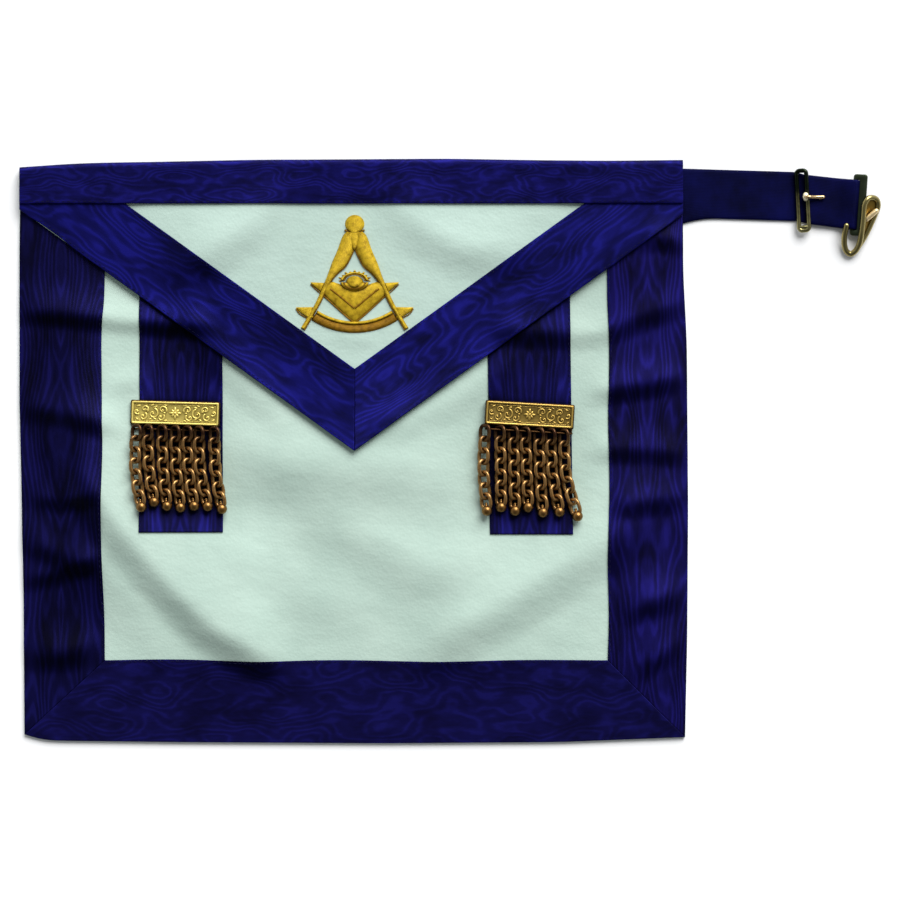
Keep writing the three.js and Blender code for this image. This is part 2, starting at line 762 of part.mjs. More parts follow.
for (const tassel of tassels) {
  const routes = chainRoutes[tassel.side];
  add("tassel_ribbon_" + tassel.side, cloth(borderLevel, ribbonThickness, tasselRibbon(tassel)), "ribbon");
  const centre = plateCentre(tassel);
  const holder = new THREE.Group();
  holder.position.set(centre.x, centre.y, 0);
  apron.add(holder);
  const seat = groundAt(centre.x, centre.y) + tasselLevel;
  const plate = plateSolid(routes).rotate([0, 0, tassel.tilt_deg]).translate([0, 0, seat]);
  add("tassel_plate_" + tassel.side, plate, "gilt", holder);
  routes.forEach((route, k) => {
    const path = chainPath(tassel, route);
    const label = tassel.side + "_" + (k + 1);
    const neckTop = path.length - ballDiameter / 2 - ballNeck;
    const linked = tassel.linked.includes(k + 1);
    const chain = linked ? linkedChain(tassel, path) : plainChain(tassel, path);
    const drop = linked ? ballOnRing(tassel, path) : placed(ball(), alongChain(tassel, path, neckTop));
    add("chain_" + label, chain, "gilt", holder);
    add("ball_" + label, drop, "gilt", holder);
  });
}

// The webbing runs from under the corner over the slider's left bar and under its right bar, folds round
// the end ring's thin bar, and comes back on top as far as the slider
const sliderAcross = beltStart + sliderReach;
const endRingAcross = beltStart + endRingReach;
const leftBar = sliderAcross - sliderWidth / 2 + sliderWire / 2;
const rightBar = sliderAcross + sliderWidth / 2 - sliderWire / 2;
const thinBar = endRingAcross - endRingWidth / 2 + endRingThin / 2;
const foldRadius = Math.hypot(endRingThin, endRingThickness) / 2 + clearance + beltThickness / 2;
const ringHeight = beltThickness / 2 + foldRadius;
const overLeftBar = sliderWire + clearance + beltThickness / 2 + clearance;
const upperRun = 1.5 * beltThickness + clearance;

function beltCentre(x) {
  const first = beltLine.firstSlope * (Math.min(x, leftBar) - beltStart);
  const step = beltLine.sliderStep * THREE.MathUtils.clamp((x - leftBar) / (rightBar - leftBar), 0, 1);
  const second = beltLine.secondSlope * (Math.max(x, rightBar) - rightBar);
  return beltUp + first + step + second;
}

function beltFlareAt(x) {
  return beltFlare * THREE.MathUtils.clamp(1 - (x - beltStart) / beltFlareLength, 0, 1);
}

// The webbing's folds lie along the slider's bars and the end ring's thin bar
function beltTurnAt(x) {
  const intoSlider = THREE.MathUtils.smoothstep(x, leftBar - sliderWidth, leftBar - sliderWire);
  const intoRing = THREE.MathUtils.smoothstep(x, rightBar + sliderWire, thinBar - 2 * foldRadius);
  return THREE.MathUtils.lerp(sliderTurn_deg * intoSlider, endRingTurn_deg, intoRing);
}

function beltProfile() {
  const floor = beltThickness / 2;
  const slack = 2 * foldRadius;
  const line = [
    [beltStart - beltTuck, floor],
    [beltStart, floor],
    [beltStart + beltFlareLength, floor],
    [leftBar - 2 * sliderWire, floor],
    [leftBar - sliderWire / 2, overLeftBar],
    [leftBar + sliderWire / 2, overLeftBar],
    [rightBar - sliderWire, floor],
    [thinBar - slack, floor],
    [thinBar, floor],
  ];
  const steps = 5;
  for (let k = 1; k <= steps; k++) {
    const angle = -Math.PI / 2 + (Math.PI * k) / steps;
    line.push([thinBar + foldRadius * Math.cos(angle), ringHeight + foldRadius * Math.sin(angle)]);
  }
  line.push([thinBar - 2 * slack, upperRun], [rightBar - sliderWire / 4, upperRun]);
  return line.map(([x, y]) => new THREE.Vector2(x, y));
}

// Both sides of a line, half the thickness away from it, as one closed shape
function thickened(line, thickness) {
  const side = (sign) =>
    line.map((point, k) => {
      const into = line[Math.max(k, 1)].clone().sub(line[Math.max(k, 1) - 1]).normalize();
      const next = Math.min(k + 1, line.length - 1);
      const out = line[next].clone().sub(line[next - 1]).normalize();
      const along = into.clone().add(out).normalize();
      const reach = (sign * thickness) / 2 / along.dot(out);
      return new THREE.Vector2(point.x - along.y * reach, point.y + along.x * reach);
    });
  return new THREE.Shape([...side(-1), ...side(1).reverse()]);
}

function beltSolid() {
  const shape = thickened(beltProfile(), beltThickness);
  const geometry = new THREE.ExtrudeGeometry(shape, { depth: beltWidth, bevelEnabled: false });
  geometry.rotateX(Math.PI / 2);
  const position = geometry.attributes.position;
  for (let k = 0; k < position.count; k++) {
    const x = position.getX(k);
    const fromMiddle = position.getY(k) + beltWidth / 2;
    position.setX(k, x - fromMiddle * Math.tan(rad(beltTurnAt(x))));
    position.setY(k, beltCentre(x) + fromMiddle - (fromMiddle < 0 ? beltFlareAt(x) : 0));
  }
  return asManifold(geometry);
}
add("belt_strap", beltSolid(), "webbing");

// The slider is a closed frame of wire, low at its left bar and high at its right bar
const lowBar = sliderWire / 2 + clearance / 2;
const highBar = upperRun + beltThickness / 2 + clearance + sliderWire / 2;
const sliderUp = (beltCentre(leftBar) + beltCentre(rightBar)) / 2;

function sliderSolid() {
  const [x, y] = [(rightBar - leftBar) / 2, (sliderLength - sliderWire) / 2];
  const corner = sliderWire;
  const [middle, half] = [(lowBar + highBar) / 2, (highBar - lowBar) / 2];
  const longSide = [-y + corner, -y + 2 * corner, 0, y - 2 * corner, y - corner];
  const shortSide = [x - corner, -x + corner];
  const point = (across, up) => new THREE.Vector3(across, up, middle + (half * across) / x);
  const points = [
    ...longSide.map((up) => point(x, up)),
    ...shortSide.map((across) => point(across, y)),
    ...longSide.map((up) => point(-x, -up)),
    ...shortSide.map((across) => point(-across, -y)),
  ];
  const curve = new THREE.CatmullRomCurve3(points, true, "centripetal");
  const steps = 3 * points.length;
  const frame = asManifold(new THREE.TubeGeometry(curve, steps, sliderWire / 2, 6, true));
  return frame.rotate([0, 0, sliderTurn_deg]).translate([sliderAcross, sliderUp, 0]);
}
add("belt_slider", sliderSolid(), "brass");

// The slider's tongue sits on its right bar, and its point rests on the webbing
function tongueSolid() {
  const rest = upperRun + beltThickness / 2 + clearance + tongueWire / 2;
  const saddle = (sliderWire + tongueWire) / 2 + 2 * clearance;
  const place = (across, z) => new THREE.Vector3(rightBar + across, sliderUp, z);
  const over = [160, 120, 80, 40].map((degrees) =>
    place(saddle * Math.cos(rad(degrees)), highBar + saddle * Math.sin(rad(degrees))),
  );
  const point = [tongueLength / 2, tongueLength - saddle].map((reach) => place(reach, rest));
  return tube(smooth([...over, ...point]), tongueWire, 10, 6);
}
add("slider_tongue", tongueSolid(), "brass");

// The end ring is flat, with a thin bar in the webbing's fold and a broad bar for the hook
const ringUp = beltCentre(thinBar);

function endRingSolid() {
  const outer = roundedRectangle(endRingWidth, endRingLength, endRingCorner);
  const inner = box(
    -endRingWidth / 2 + endRingThin,
    -endRingLength / 2 + endRingThin,
    endRingWidth / 2 - endRingBroad,
    endRingLength / 2 - endRingThin,
  );
  const half = endRingThickness / 2;
  const fromThinBar = (endRingWidth - endRingThin) / 2;
  return prism(outer, -half, half)
    .subtract(prism(inner))
    .translate([fromThinBar, 0, 0])
    .rotate([0, -endRingTilt_deg, 0])
    .rotate([0, 0, endRingTurn_deg])
    .translate([thinBar, ringUp, ringHeight]);
}
add("end_ring", endRingSolid(), "brass");

// The hook is one casting: a wire in a long S, a tongue that passes under the ring, and a thin web
const ringTop = ringHeight + endRingWidth * Math.sin(rad(endRingTilt_deg)) + endRingThickness / 2;
const overRing = ringTop + clearance / 2 + hookWire / 2;

function hookPlace({ across, up, rise }, wire) {
  const onGround = wire / 2 + clearance / 2;
  return new THREE.Vector3(
    endRingAcross + across * hookLength,
    ringUp + up * hookLength,
    onGround + rise * (overRing - onGround),
  );
}

function hookSolid() {
  const main = smooth(hookRoute.map((row) => hookPlace(row, hookWire)));
  const tongue = smooth(hookTongueRoute.map((row) => hookPlace(row, hookTongueWire)));
  const webRadius = hookWeb.radius * hookLength;
  const web = new THREE.CylinderGeometry(webRadius, webRadius, hookWeb.thickness, 8);
  web.rotateX(Math.PI / 2);
  web.translate(...hookPlace(hookWeb, hookWire).toArray());
  return unite([tube(main, hookWire, 28, 6), tube(tongue, hookTongueWire, 4, 6), asManifold(web)]);
}
add("snake_hook", hookSolid(), "brass");

export default apron;
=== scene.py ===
# A white leather apron laid flat, seen from straight above: dark blue moire ribbons, a pointed flap with
# raised gold embroidery, two gilt plates with seven chains each, and one end of its belt with a slider
# and a hook. Tables are in millimetres, and everything that is built from them is in metres.
import math

import bpy
import numpy as np
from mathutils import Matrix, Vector
from mathutils.bvhtree import BVHTree


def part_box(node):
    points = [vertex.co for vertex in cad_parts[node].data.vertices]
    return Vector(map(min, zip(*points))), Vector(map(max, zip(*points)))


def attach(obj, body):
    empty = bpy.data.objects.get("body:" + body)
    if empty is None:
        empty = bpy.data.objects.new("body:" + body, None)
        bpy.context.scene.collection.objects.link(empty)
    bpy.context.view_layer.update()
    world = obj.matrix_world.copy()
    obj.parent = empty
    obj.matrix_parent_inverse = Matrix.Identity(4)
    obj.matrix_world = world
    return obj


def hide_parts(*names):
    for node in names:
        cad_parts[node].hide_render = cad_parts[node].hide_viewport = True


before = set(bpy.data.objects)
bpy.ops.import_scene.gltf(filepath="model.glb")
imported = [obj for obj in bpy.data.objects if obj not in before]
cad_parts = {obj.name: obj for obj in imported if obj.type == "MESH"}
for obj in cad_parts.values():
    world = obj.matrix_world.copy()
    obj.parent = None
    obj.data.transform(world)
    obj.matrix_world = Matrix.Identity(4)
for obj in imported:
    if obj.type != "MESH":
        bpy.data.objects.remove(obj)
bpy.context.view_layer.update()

MM = 0.001

# Camera: straight above, far enough that a long lens shows 549 mm across
VIEW_WIDTH = 0.549
VIEW_CENTRE = (0.0589, 0.0006)
CAMERA_HEIGHT = 1.6
SENSOR = 36.0

# The apron's own sizes
HALF_WIDTH = 203.2
HALF_HEIGHT = 177.8
LEATHER = 1.2
RIBBON = 1.0
CLEAR = 0.3
BORDER = LEATHER + CLEAR
FLAP = BORDER + RIBBON + CLEAR
FLAP_RIBBON = FLAP + LEATHER + CLEAR
BAND = FLAP_RIBBON + RIBBON + CLEAR
BAND_LOW = 150.4
TIP = (0.9, 0.0)
FLAP_SLOPE = math.radians(35.75)
FLAP_RIBBON_WIDTH = 40.6
FLAP_RIBBON_TOP = 158.4

# The outline as shares of half the width and half the height
TOP_EDGE = [(-0.998, 0.971), (-0.821, 0.985), (-0.311, 0.997), (0.29, 1.001), (0.74, 0.992), (0.986, 0.995)]
RIGHT_EDGE = [
    (0.986, 0.995), (0.989, 0.594), (1.0, 0.388), (1.004, -0.202), (1.001, -0.642), (0.995, -0.981),
]
BOTTOM_EDGE = [
    (-0.986, -0.971), (-0.968, -0.992), (-0.521, -0.998), (0.08, -1.002), (0.62, -0.998), (0.995, -0.981),
]
LEFT_EDGE = [(-0.998, 0.971), (-1.001, 0.69), (-1.001, 0.175), (-0.989, -0.443), (-0.986, -0.971)]

# Soft creases, each along a line that runs to the right: the cloth stands high behind the line and drops
# steeply towards the viewer's side. Columns: the drop's half width, the gentle slope's length behind it,
# its height and the line
CREASES = [
    (11.5, 58, 8.0,
     [(-196, 4), (-166, -28), (-141, -60), (-108, -97), (-88, -115), (-64, -128), (-34, -138)]),
    (20, 60, 5.6, [(-200, -44), (-166, -74), (-132, -104), (-100, -136)]),
    (15, 32, 5.8, [(28, -142), (66, -118), (102, -98), (132, -79), (190, -48)]),
    (24, 42, 7.2, [(-112, -12), (-58, -18), (-12, -23), (32, -25), (84, -40)]),
    (18, 28, 4.0, [(-52, -42), (-4, -58), (50, -80), (108, -62)]),
    (16, 26, 2.0, [(-110, -66), (-58, -76), (-28, -98), (26, -114)]),
    (13, 22, 3.6, [(-124, 100), (-84, 115), (-62, 128), (-28, 154)]),
    (14, 22, 3.4, [(4, 150), (38, 128), (68, 116), (120, 118)]),
    (6, 10, 0.9, [(-18, 68), (0, 65), (20, 68)]),
    (11, 20, 3.2, [(-108, 70), (-80, 46), (-62, 31), (-28, 8)]),
    (11, 18, 2.6, [(0, 8), (36, 14), (62, 25), (110, 54)]),
    (6.5, 14, 3.8, [(-208, 82), (-178, 80), (-144, 76), (-80, 72)]),
    (6.5, 13, 1.7, [(-158, 36), (-136, 38), (-118, 42)]),
    (5.2, 13, 1.6, [(-100, 42), (-84, 40)]),
    (7.2, 15, 3.6, [(-208, 24), (-182, 20), (-136, 9)]),
    (5.9, 13, 2.5, [(-202, -30), (-176, -33), (-148, -29)]),
    (7.2, 14, 3.4, [(-208, -56), (-182, -66), (-148, -76)]),
    (6.5, 11, 2.6, [(-208, -82), (-184, -78), (-160, -70), (-146, -62)]),
    (9.1, 15, 4.2, [(-208, -124), (-180, -128), (-148, -120)]),
    (6.5, 11, 2.3, [(168, 122), (186, 126), (208, 121)]),
    (7.2, 14, 2.4, [(78, 70), (112, 68), (150, 68), (176, 78), (208, 88)]),
    (7.2, 15, 3.1, [(136, 30), (160, 34), (208, 42)]),
    (6.5, 14, 2.2, [(136, -4), (170, -3), (208, -6)]),
    (7.2, 15, 2.9, [(150, -37), (178, -35), (208, -31)]),
    (8.5, 17, 3.8, [(156, -104), (180, -97), (208, -88)]),
    (7.2, 13, 2.6, [(164, -140), (184, -130), (208, -116)]),
]

# How far a crease fades out at its ends, as a multiple of its drop
CREASE_END = 3.0

# The slope of a crease facing away from the key light, at which a ribbon's colour is painted darkest as
# shade
SHADE_SLOPE = 0.42

# The borders' inner edges, which waver a little
LEFT_INSIDE = [
    (-152.2, 200), (-151.6, 92), (-153.1, 70), (-152.7, 42), (-151.9, 2), (-152.8, -55), (-151.6, -100),
    (-151.4, -127.5),
]
RIGHT_INSIDE = [
    (155.2, 200), (154.6, 96), (155.8, 62), (155.2, 20), (155.9, -20), (154.9, -64), (155.6, -100),
    (155.0, -127.5),
]
BOTTOM_INSIDE = [
    (-151.4, -127.5), (-110, -126.9), (-60, -128.1), (-8, -127.4), (50, -128.3), (104, -127.3),
    (155.0, -127.5),
]

# How far a sewn ribbon sinks into the leather
SINK = 0.2

# The tassels: the ribbon's centre line above and below, its lower end, the plate's centre and tilt, and
# each chain's places across at the rod, halfway and at its ball, and its ball's depth below the plate
TASSELS = {
    "left": {
        "top": -105.3, "foot": -104.4, "end": -49.4, "plate": (-108.1, 22.94), "tilt": -1.6,
        "chains": [
            (-22.8, -23.4, -19.7, 56.8), (-16.0, -15.4, -12.2, 53.7), (-7.5, -6.9, -4.5, 56.2),
            (0.4, 1.0, 3.7, 57.1), (7.7, 8.4, 11.8, 56.2), (14.8, 15.4, 19.9, 56.5),
            (24.1, 24.7, 28.5, 58.0),
        ],
    },
    "right": {
        "top": 106.1, "foot": 108.5, "end": -50.7, "plate": (107.29, 22.05), "tilt": -3.3,
        "chains": [
            (-26.6, -28.0, -26.0, 58.3), (-17.5, -17.5, -17.3, 56.2), (-9.4, -9.4, -8.8, 58.3),
            (-2.3, -1.8, -0.9, 56.2), (6.2, 6.3, 8.1, 59.4), (13.2, 13.8, 18.1, 58.9),
            (21.3, 22.1, 29.0, 61.6),
        ],
    },
}
TASSEL_RIBBON_WIDTH = 50.6
TASSEL_RIBBON_TOP = 146.4
PLATE = {"length": 54.2, "width": 15.0, "thick": 4.4, "wall": 1.0, "rim": 1.3, "recess": 0.9, "corner": 0.8}
ROD = 1.2
ROD_DOWN = 10.1
CHAIN_RISE = 3.25
RING_WIDTH = 8.9
RING_LEAN = 36.0
RING_SQUARE = 0.72
RING_WIRE = 2.35
RINGS = 7
BALL = 6.5
NECK = 1.4


# Shapes in numbers
def rounded_line(points, steps=24):
    """A smooth line through the points, which never swings out between two of them."""
    points = np.asarray(points, float)
    gaps = np.maximum(np.linalg.norm(np.diff(points, axis=0), axis=1), 1e-6)[:, None] ** 0.5
    slopes = np.diff(points, axis=0) / gaps
    inner = (slopes[:-1] * gaps[1:] + slopes[1:] * gaps[:-1]) / (gaps[:-1] + gaps[1:])
    tangents = np.vstack([slopes[:1], inner, slopes[-1:]])
    t = np.linspace(0, 1, steps, endpoint=False)[:, None]
    pieces = []
    for k, gap in enumerate(gaps):
        from_start = (2 * t**3 - 3 * t**2 + 1) * points[k] + (t**3 - 2 * t**2 + t) * gap * tangents[k]
        to_end = (3 * t**2 - 2 * t**3) * points[k + 1] + (t**3 - t**2) * gap * tangents[k + 1]
        pieces.append(from_start + to_end)
    return np.vstack([*pieces, points[-1:]])


def lengths_along(points):
    return np.concatenate([[0.0], np.cumsum(np.linalg.norm(np.diff(points, axis=0), axis=1))])


def along(points, shares):
    """Points at those shares of the line's length."""
    points = np.asarray(points, float)
    reach = lengths_along(points)
    places = np.asarray(shares) * reach[-1]
    return np.stack([np.interp(places, reach, column) for column in points.T], axis=1)


def stations(length, spacing, rows=(0.0, 0.12, 0.35, 0.8)):
    """Shares of a length, close together near both ends, where an edge is rounded."""
    inner = np.linspace(rows[-1], length - rows[-1], max(2, round(length / spacing)))
    return np.concatenate([rows[:-1], inner, length - np.array(rows[-2::-1])]) / length


def edge_of(rows):
    """An edge of the apron, straight between its rows with each turn eased."""
    line = along(np.array(rows) * (HALF_WIDTH, HALF_HEIGHT), np.linspace(0, 1, 240))
    reach = 14
    before, after = 2 * line[0] - line[reach:0:-1], 2 * line[-1] - line[-2:-reach - 2:-1]
    padded = np.vstack([before, line, after])
    weights = np.hanning(2 * reach + 3)[1:-1]
    weights /= weights.sum()
    return np.column_stack([np.convolve(column, weights, "valid") for column in padded.T])


def straight(*points):
    return np.array(points, float)


def across_at(edge, y):
    order = np.argsort(edge[:, 1])
    return float(np.interp(y, edge[order, 1], edge[order, 0]))


# The ground that every layer lies on comes from the frame's panel, smoothed
GRID = 2.5
GRID_LEFT, GRID_LOW = -230.0, -200.0
GRID_COLUMNS, GRID_ROWS = 185, 161
SMOOTHING = 3.2


def panel_heights():
    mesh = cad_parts["body_panel"].data
    tree = BVHTree.FromPolygons([v.co for v in mesh.vertices], [p.vertices for p in mesh.polygons])
    heights = np.zeros((GRID_ROWS, GRID_COLUMNS))
    for row in range(GRID_ROWS):
        for column in range(GRID_COLUMNS):
            x, y = GRID_LEFT + GRID * column, GRID_LOW + GRID * row
            found = tree.find_nearest(Vector((x, y, 9.0)) * MM)
            heights[row, column] = found[0].z / MM - LEATHER
    reach = np.arange(-9, 10)
    weights = np.exp(-0.5 * (reach / SMOOTHING) ** 2)
    weights /= weights.sum()
    for axis in (0, 1):
        padding = [(9, 9) if axis == k else (0, 0) for k in (0, 1)]
        heights = np.apply_along_axis(np.convolve, axis, np.pad(heights, padding, "edge"), weights, "valid")
    return np.maximum(heights, 0)


GROUND = panel_heights()


def step(value, low, high):
    t = np.clip((value - low) / (high - low), 0, 1)
    return t * t * (3 - 2 * t)


CREASE_LINES = [rounded_line(line) for *_, line in CREASES]


def creases(x, y):
    total = np.zeros(np.shape(x))
    for (drop, back, high, _), line in zip(CREASES, CREASE_LINES):
        middle = np.interp(x, line[:, 0], line[:, 1])
        slope = np.interp(x, line[:, 0], np.gradient(line[:, 1], line[:, 0]))
        behind = (y - middle) / np.sqrt(1 + slope**2)
        fade = CREASE_END * drop
        ends = step(x, line[0, 0], line[0, 0] + fade) * step(-x, -line[-1, 0], fade - line[-1, 0])
        fall = np.exp(-((np.maximum(behind, 0) / back) ** 2))
        total += high * ends * step(behind, -drop, drop) * fall
    return total


def ground(x, y):
    column = np.clip((np.asarray(x) - GRID_LEFT) / GRID, 0, GRID_COLUMNS - 1.001)
    row = np.clip((np.asarray(y) - GRID_LOW) / GRID, 0, GRID_ROWS - 1.001)
    i, j = row.astype(int), column.astype(int)
    u, v = row - i, column - j
    low = GROUND[i, j] * (1 - v) + GROUND[i, j + 1] * v
    high = GROUND[i + 1, j] * (1 - v) + GROUND[i + 1, j + 1] * v
    return low * (1 - u) + high * u + creases(np.asarray(x), np.asarray(y))


# Pieces from vertices and faces
def piece(name, vertices, faces, material, uv=None, replaced=(), slope_shade=None):
    mesh = bpy.data.meshes.new(name)
    mesh.from_pydata((np.asarray(vertices) * MM).tolist(), [], [tuple(map(int, face)) for face in faces])
    mesh.shade_smooth()
    corners = np.zeros(len(mesh.loops), int)
    mesh.loops.foreach_get("vertex_index", corners)
    for label, rows, scale in (("weave", uv, MM), ("slope_shade", slope_shade, 1.0)):
        if rows is not None:
            layer = mesh.uv_layers.new(name=label)
            layer.data.foreach_set("uv", (np.asarray(rows)[corners] * scale).ravel())
    mesh.materials.append(material)
    made = bpy.data.objects.new(name, mesh)
    bpy.context.scene.collection.objects.link(made)
    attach(made, "root")
    if replaced:
        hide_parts(*replaced)
    return made


class Heap:
    """Several shapes that become one mesh."""

    def __init__(self):
        self.vertices, self.faces, self.uv, self.count = [], [], [], 0

    def add(self, vertices, faces, uv=None):
        vertices = np.asarray(vertices, float)
        self.vertices.append(vertices)
        self.faces += [tuple(self.count + np.array(face)) for face in faces]
        self.uv.append(np.zeros((len(vertices), 2)) if uv is None else np.asarray(uv, float))
        self.count += len(vertices)
        return self

    def piece(self, name, material, slot, replaced=()):
        vertices, uv = np.vstack(self.vertices), np.vstack(self.uv)
        return piece(name, vertices, self.faces, material, uv, replaced)


def grid_faces(rows, columns, first=0, flip=False, wrap=False):
    across = columns if wrap else columns - 1
    i, j = np.meshgrid(np.arange(rows - 1), np.arange(across), indexing="ij")
    a, b = i * columns + j, i * columns + (j + 1) % columns
    quads = np.stack([a, b, b + columns, a + columns], axis=-1).reshape(-1, 4) + first
    return quads[:, ::-1] if flip else quads


def shell_faces(rows, columns):
    """Two grids of the same size, one over the other, and the rim between them."""
    top, bottom = 0, rows * columns
    across, up = np.arange(columns), np.arange(rows)
    rim = np.concatenate([
        across[:-1],
        up[:-1] * columns + columns - 1,
        (rows - 1) * columns + across[:0:-1],
        up[:0:-1] * columns,
    ])
    after = np.roll(rim, -1)
    sides = np.stack([rim + bottom, after + bottom, after + top, rim + top], axis=-1)
    return np.vstack([grid_faces(rows, columns), grid_faces(rows, columns, bottom, flip=True), sides])


def edge_drop(distance, radius):
    inside = np.clip(distance, 0, radius)
    return radius - np.sqrt(np.maximum(radius**2 - (radius - inside) ** 2, 0))


def cloth(name, node, sides, level, thickness, finish, uv_frame, spacing=2.0):
    """A sheet between four edges. sides: low and high run the same way, and so do left and right."""
    low, high, left, right = [np.asarray(side, float) for side in sides]
    width = (lengths_along(low)[-1] + lengths_along(high)[-1]) / 2
    height = (lengths_along(left)[-1] + lengths_along(right)[-1]) / 2
    u, v = stations(width, spacing), stations(height, spacing)
    low, high, left, right = along(low, u), along(high, u), along(left, v), along(right, v)
    s, t = u[None, :, None], v[:, None, None]
    corners = (1 - s) * (1 - t) * low[0] + s * (1 - t) * low[-1] + (1 - s) * t * high[0] + s * t * high[-1]
    plan = (1 - t) * low[None] + t * high[None] + (1 - s) * left[:, None] + s * right[:, None] - corners
    x, y = plan[..., 0], plan[..., 1]
    edge = np.minimum(np.minimum(u, 1 - u)[None, :] * width, np.minimum(v, 1 - v)[:, None] * height)
    drop = edge_drop(edge, 0.45 * thickness)
    base = ground(x, y)
    top = np.stack([x, y, base + level + thickness - drop], axis=-1).reshape(-1, 3)
    bottom = np.stack([x, y, base + level + drop], axis=-1).reshape(-1, 3)
    (ox, oy), turn = uv_frame
    flat = plan.reshape(-1, 2) - (ox, oy)
    turn = math.radians(turn)
    uv = np.stack([
        flat[:, 0] * math.cos(turn) + flat[:, 1] * math.sin(turn),
        -flat[:, 0] * math.sin(turn) + flat[:, 1] * math.cos(turn),
    ], axis=1)
    # Painted shade for the ribbons: how steeply the ground rises towards the apron's top, away from the key
    # light
    slope = np.clip((ground(x, y + 1.0) - ground(x, y - 1.0)) / 2 / SHADE_SLOPE, 0, 1).reshape(-1, 1)
    slope_shade = np.repeat(np.vstack([slope, slope]), 2, axis=1)
    vertices, faces = np.vstack([top, bottom]), shell_faces(len(v), len(u))
    made = piece(name, vertices, faces, finish, np.vstack([uv, uv]), [node], slope_shade)
    size = np.ptp(uv, axis=0) * MM
    up, over = np.diff(plan, axis=0)[:, :-1], np.diff(plan, axis=1)[:-1]
    area = np.abs(up[..., 0] * over[..., 1] - up[..., 1] * over[..., 0]).sum() * MM * MM
    area = min(area, size[0] * size[1])
    return made


def frames_along(points, closed=False):
    """Two directions across the line at each point, which turn as little as they can."""
    points = np.asarray(points, float)
    if closed:
        tangents = np.roll(points, -1, axis=0) - np.roll(points, 1, axis=0)
    else:
        tangents = np.gradient(points, axis=0)
    tangents /= np.linalg.norm(tangents, axis=1)[:, None]
    side = np.cross(tangents[0], (0, 0, 1) if abs(tangents[0][2]) < 0.9 else (1, 0, 0))
    sides = []
    for tangent in tangents:
        side = side - tangent * side.dot(tangent)
        side = side / np.linalg.norm(side)
        sides.append(side)
    sides = np.array(sides)
    return sides, np.cross(tangents, sides)


def end_caps(rings, sides):
    """The first and the last ring of a wrapped grid, each as one face."""
    return [list(range(sides))[::-1], [(rings - 1) * sides + k for k in range(sides)]]


def closed_faces(rings, sides):
    """A wrapped grid whose last ring joins its first."""
    return (grid_faces(rings + 1, sides, wrap=True) % (rings * sides)).tolist()


def tube(points, radius, sides, closed=False, capped=True):
    """A round wire along the points. An open one has round ends, unless capped is off."""
    points = np.asarray(points, float)
    radii = np.broadcast_to(np.asarray(radius, float), len(points)).copy()
    if capped and not closed:
        first, last = points[0] - points[1], points[-1] - points[-2]
        first, last = first / np.linalg.norm(first), last / np.linalg.norm(last)
        angles = np.radians([85, 60, 30])
        start = [points[0] + first * radii[0] * math.sin(a) for a in angles]
        end = [points[-1] + last * radii[-1] * math.sin(a) for a in angles[::-1]]
        points = np.vstack([start, points, end])
        radii = np.concatenate([radii[0] * np.cos(angles), radii, radii[-1] * np.cos(angles[::-1])])
    side, up = frames_along(points, closed)
    angles = np.linspace(0, 2 * math.pi, sides, endpoint=False)
    circle = np.cos(angles)[None, :, None] * side[:, None] + np.sin(angles)[None, :, None] * up[:, None]
    vertices = (points[:, None] + circle * radii[:, None, None]).reshape(-1, 3)
    if closed:
        return vertices, closed_faces(len(points), sides)
    return vertices, grid_faces(len(points), sides, wrap=True).tolist() + end_caps(len(points), sides)


def at_height(outline, z):
    return np.column_stack([outline, np.full(len(outline), z)])


def leaning(vertices, degrees):
    """The vertices turned about the Y axis."""
    c, s = math.cos(math.radians(degrees)), math.sin(math.radians(degrees))
    return vertices @ np.array([[c, 0, -s], [0, 1, 0], [s, 0, c]])


def turned(vertices, degrees, centre=(0, 0, 0)):
    c, s = math.cos(math.radians(degrees)), math.sin(math.radians(degrees))
    return np.asarray(vertices) @ np.array([[c, s, 0], [-s, c, 0], [0, 0, 1]]) + np.asarray(centre)


def lathe(profile, sides):
    """A round body about the Z axis from rows of (radius, height)."""
    profile = np.asarray(profile, float)
    angles = np.linspace(0, 2 * math.pi, sides, endpoint=False)
    vertices = np.stack([
        profile[:, 0, None] * np.cos(angles),
        profile[:, 0, None] * np.sin(angles),
        np.broadcast_to(profile[:, 1, None], (len(profile), sides)),
    ], axis=-1).reshape(-1, 3)
    return vertices, grid_faces(len(profile), sides, wrap=True).tolist() + end_caps(len(profile), sides)


# Materials
class Nodes:
    """A node tree that is put together a node at a time."""

    def __init__(self, tree):
        self.tree = tree

    def node(self, kind, inputs=None, **settings):
        node = self.tree.nodes.new("ShaderNode" + kind)
        for key, value in settings.items():
            setattr(node, key, value)
        for key, value in (inputs or {}).items():
            if isinstance(value, bpy.types.NodeSocket):
                self.tree.links.new(value, node.inputs[key])
            else:
                node.inputs[key].default_value = value
        return node

    def maths(self, operation, *values):
        return self.node("Math", dict(enumerate(values)), operation=operation).outputs[0]

    def parts(self, vector):
        return self.node("SeparateXYZ", {"Vector": vector}).outputs

    def ranged(self, value, low, high, start=0.0, end=1.0, **settings):
        """The value, taken from low and high to start and end."""
        inputs = {"Value": value, "From Min": low, "From Max": high, "To Min": start, "To Max": end}
        return self.node("MapRange", inputs, **settings).outputs[0]


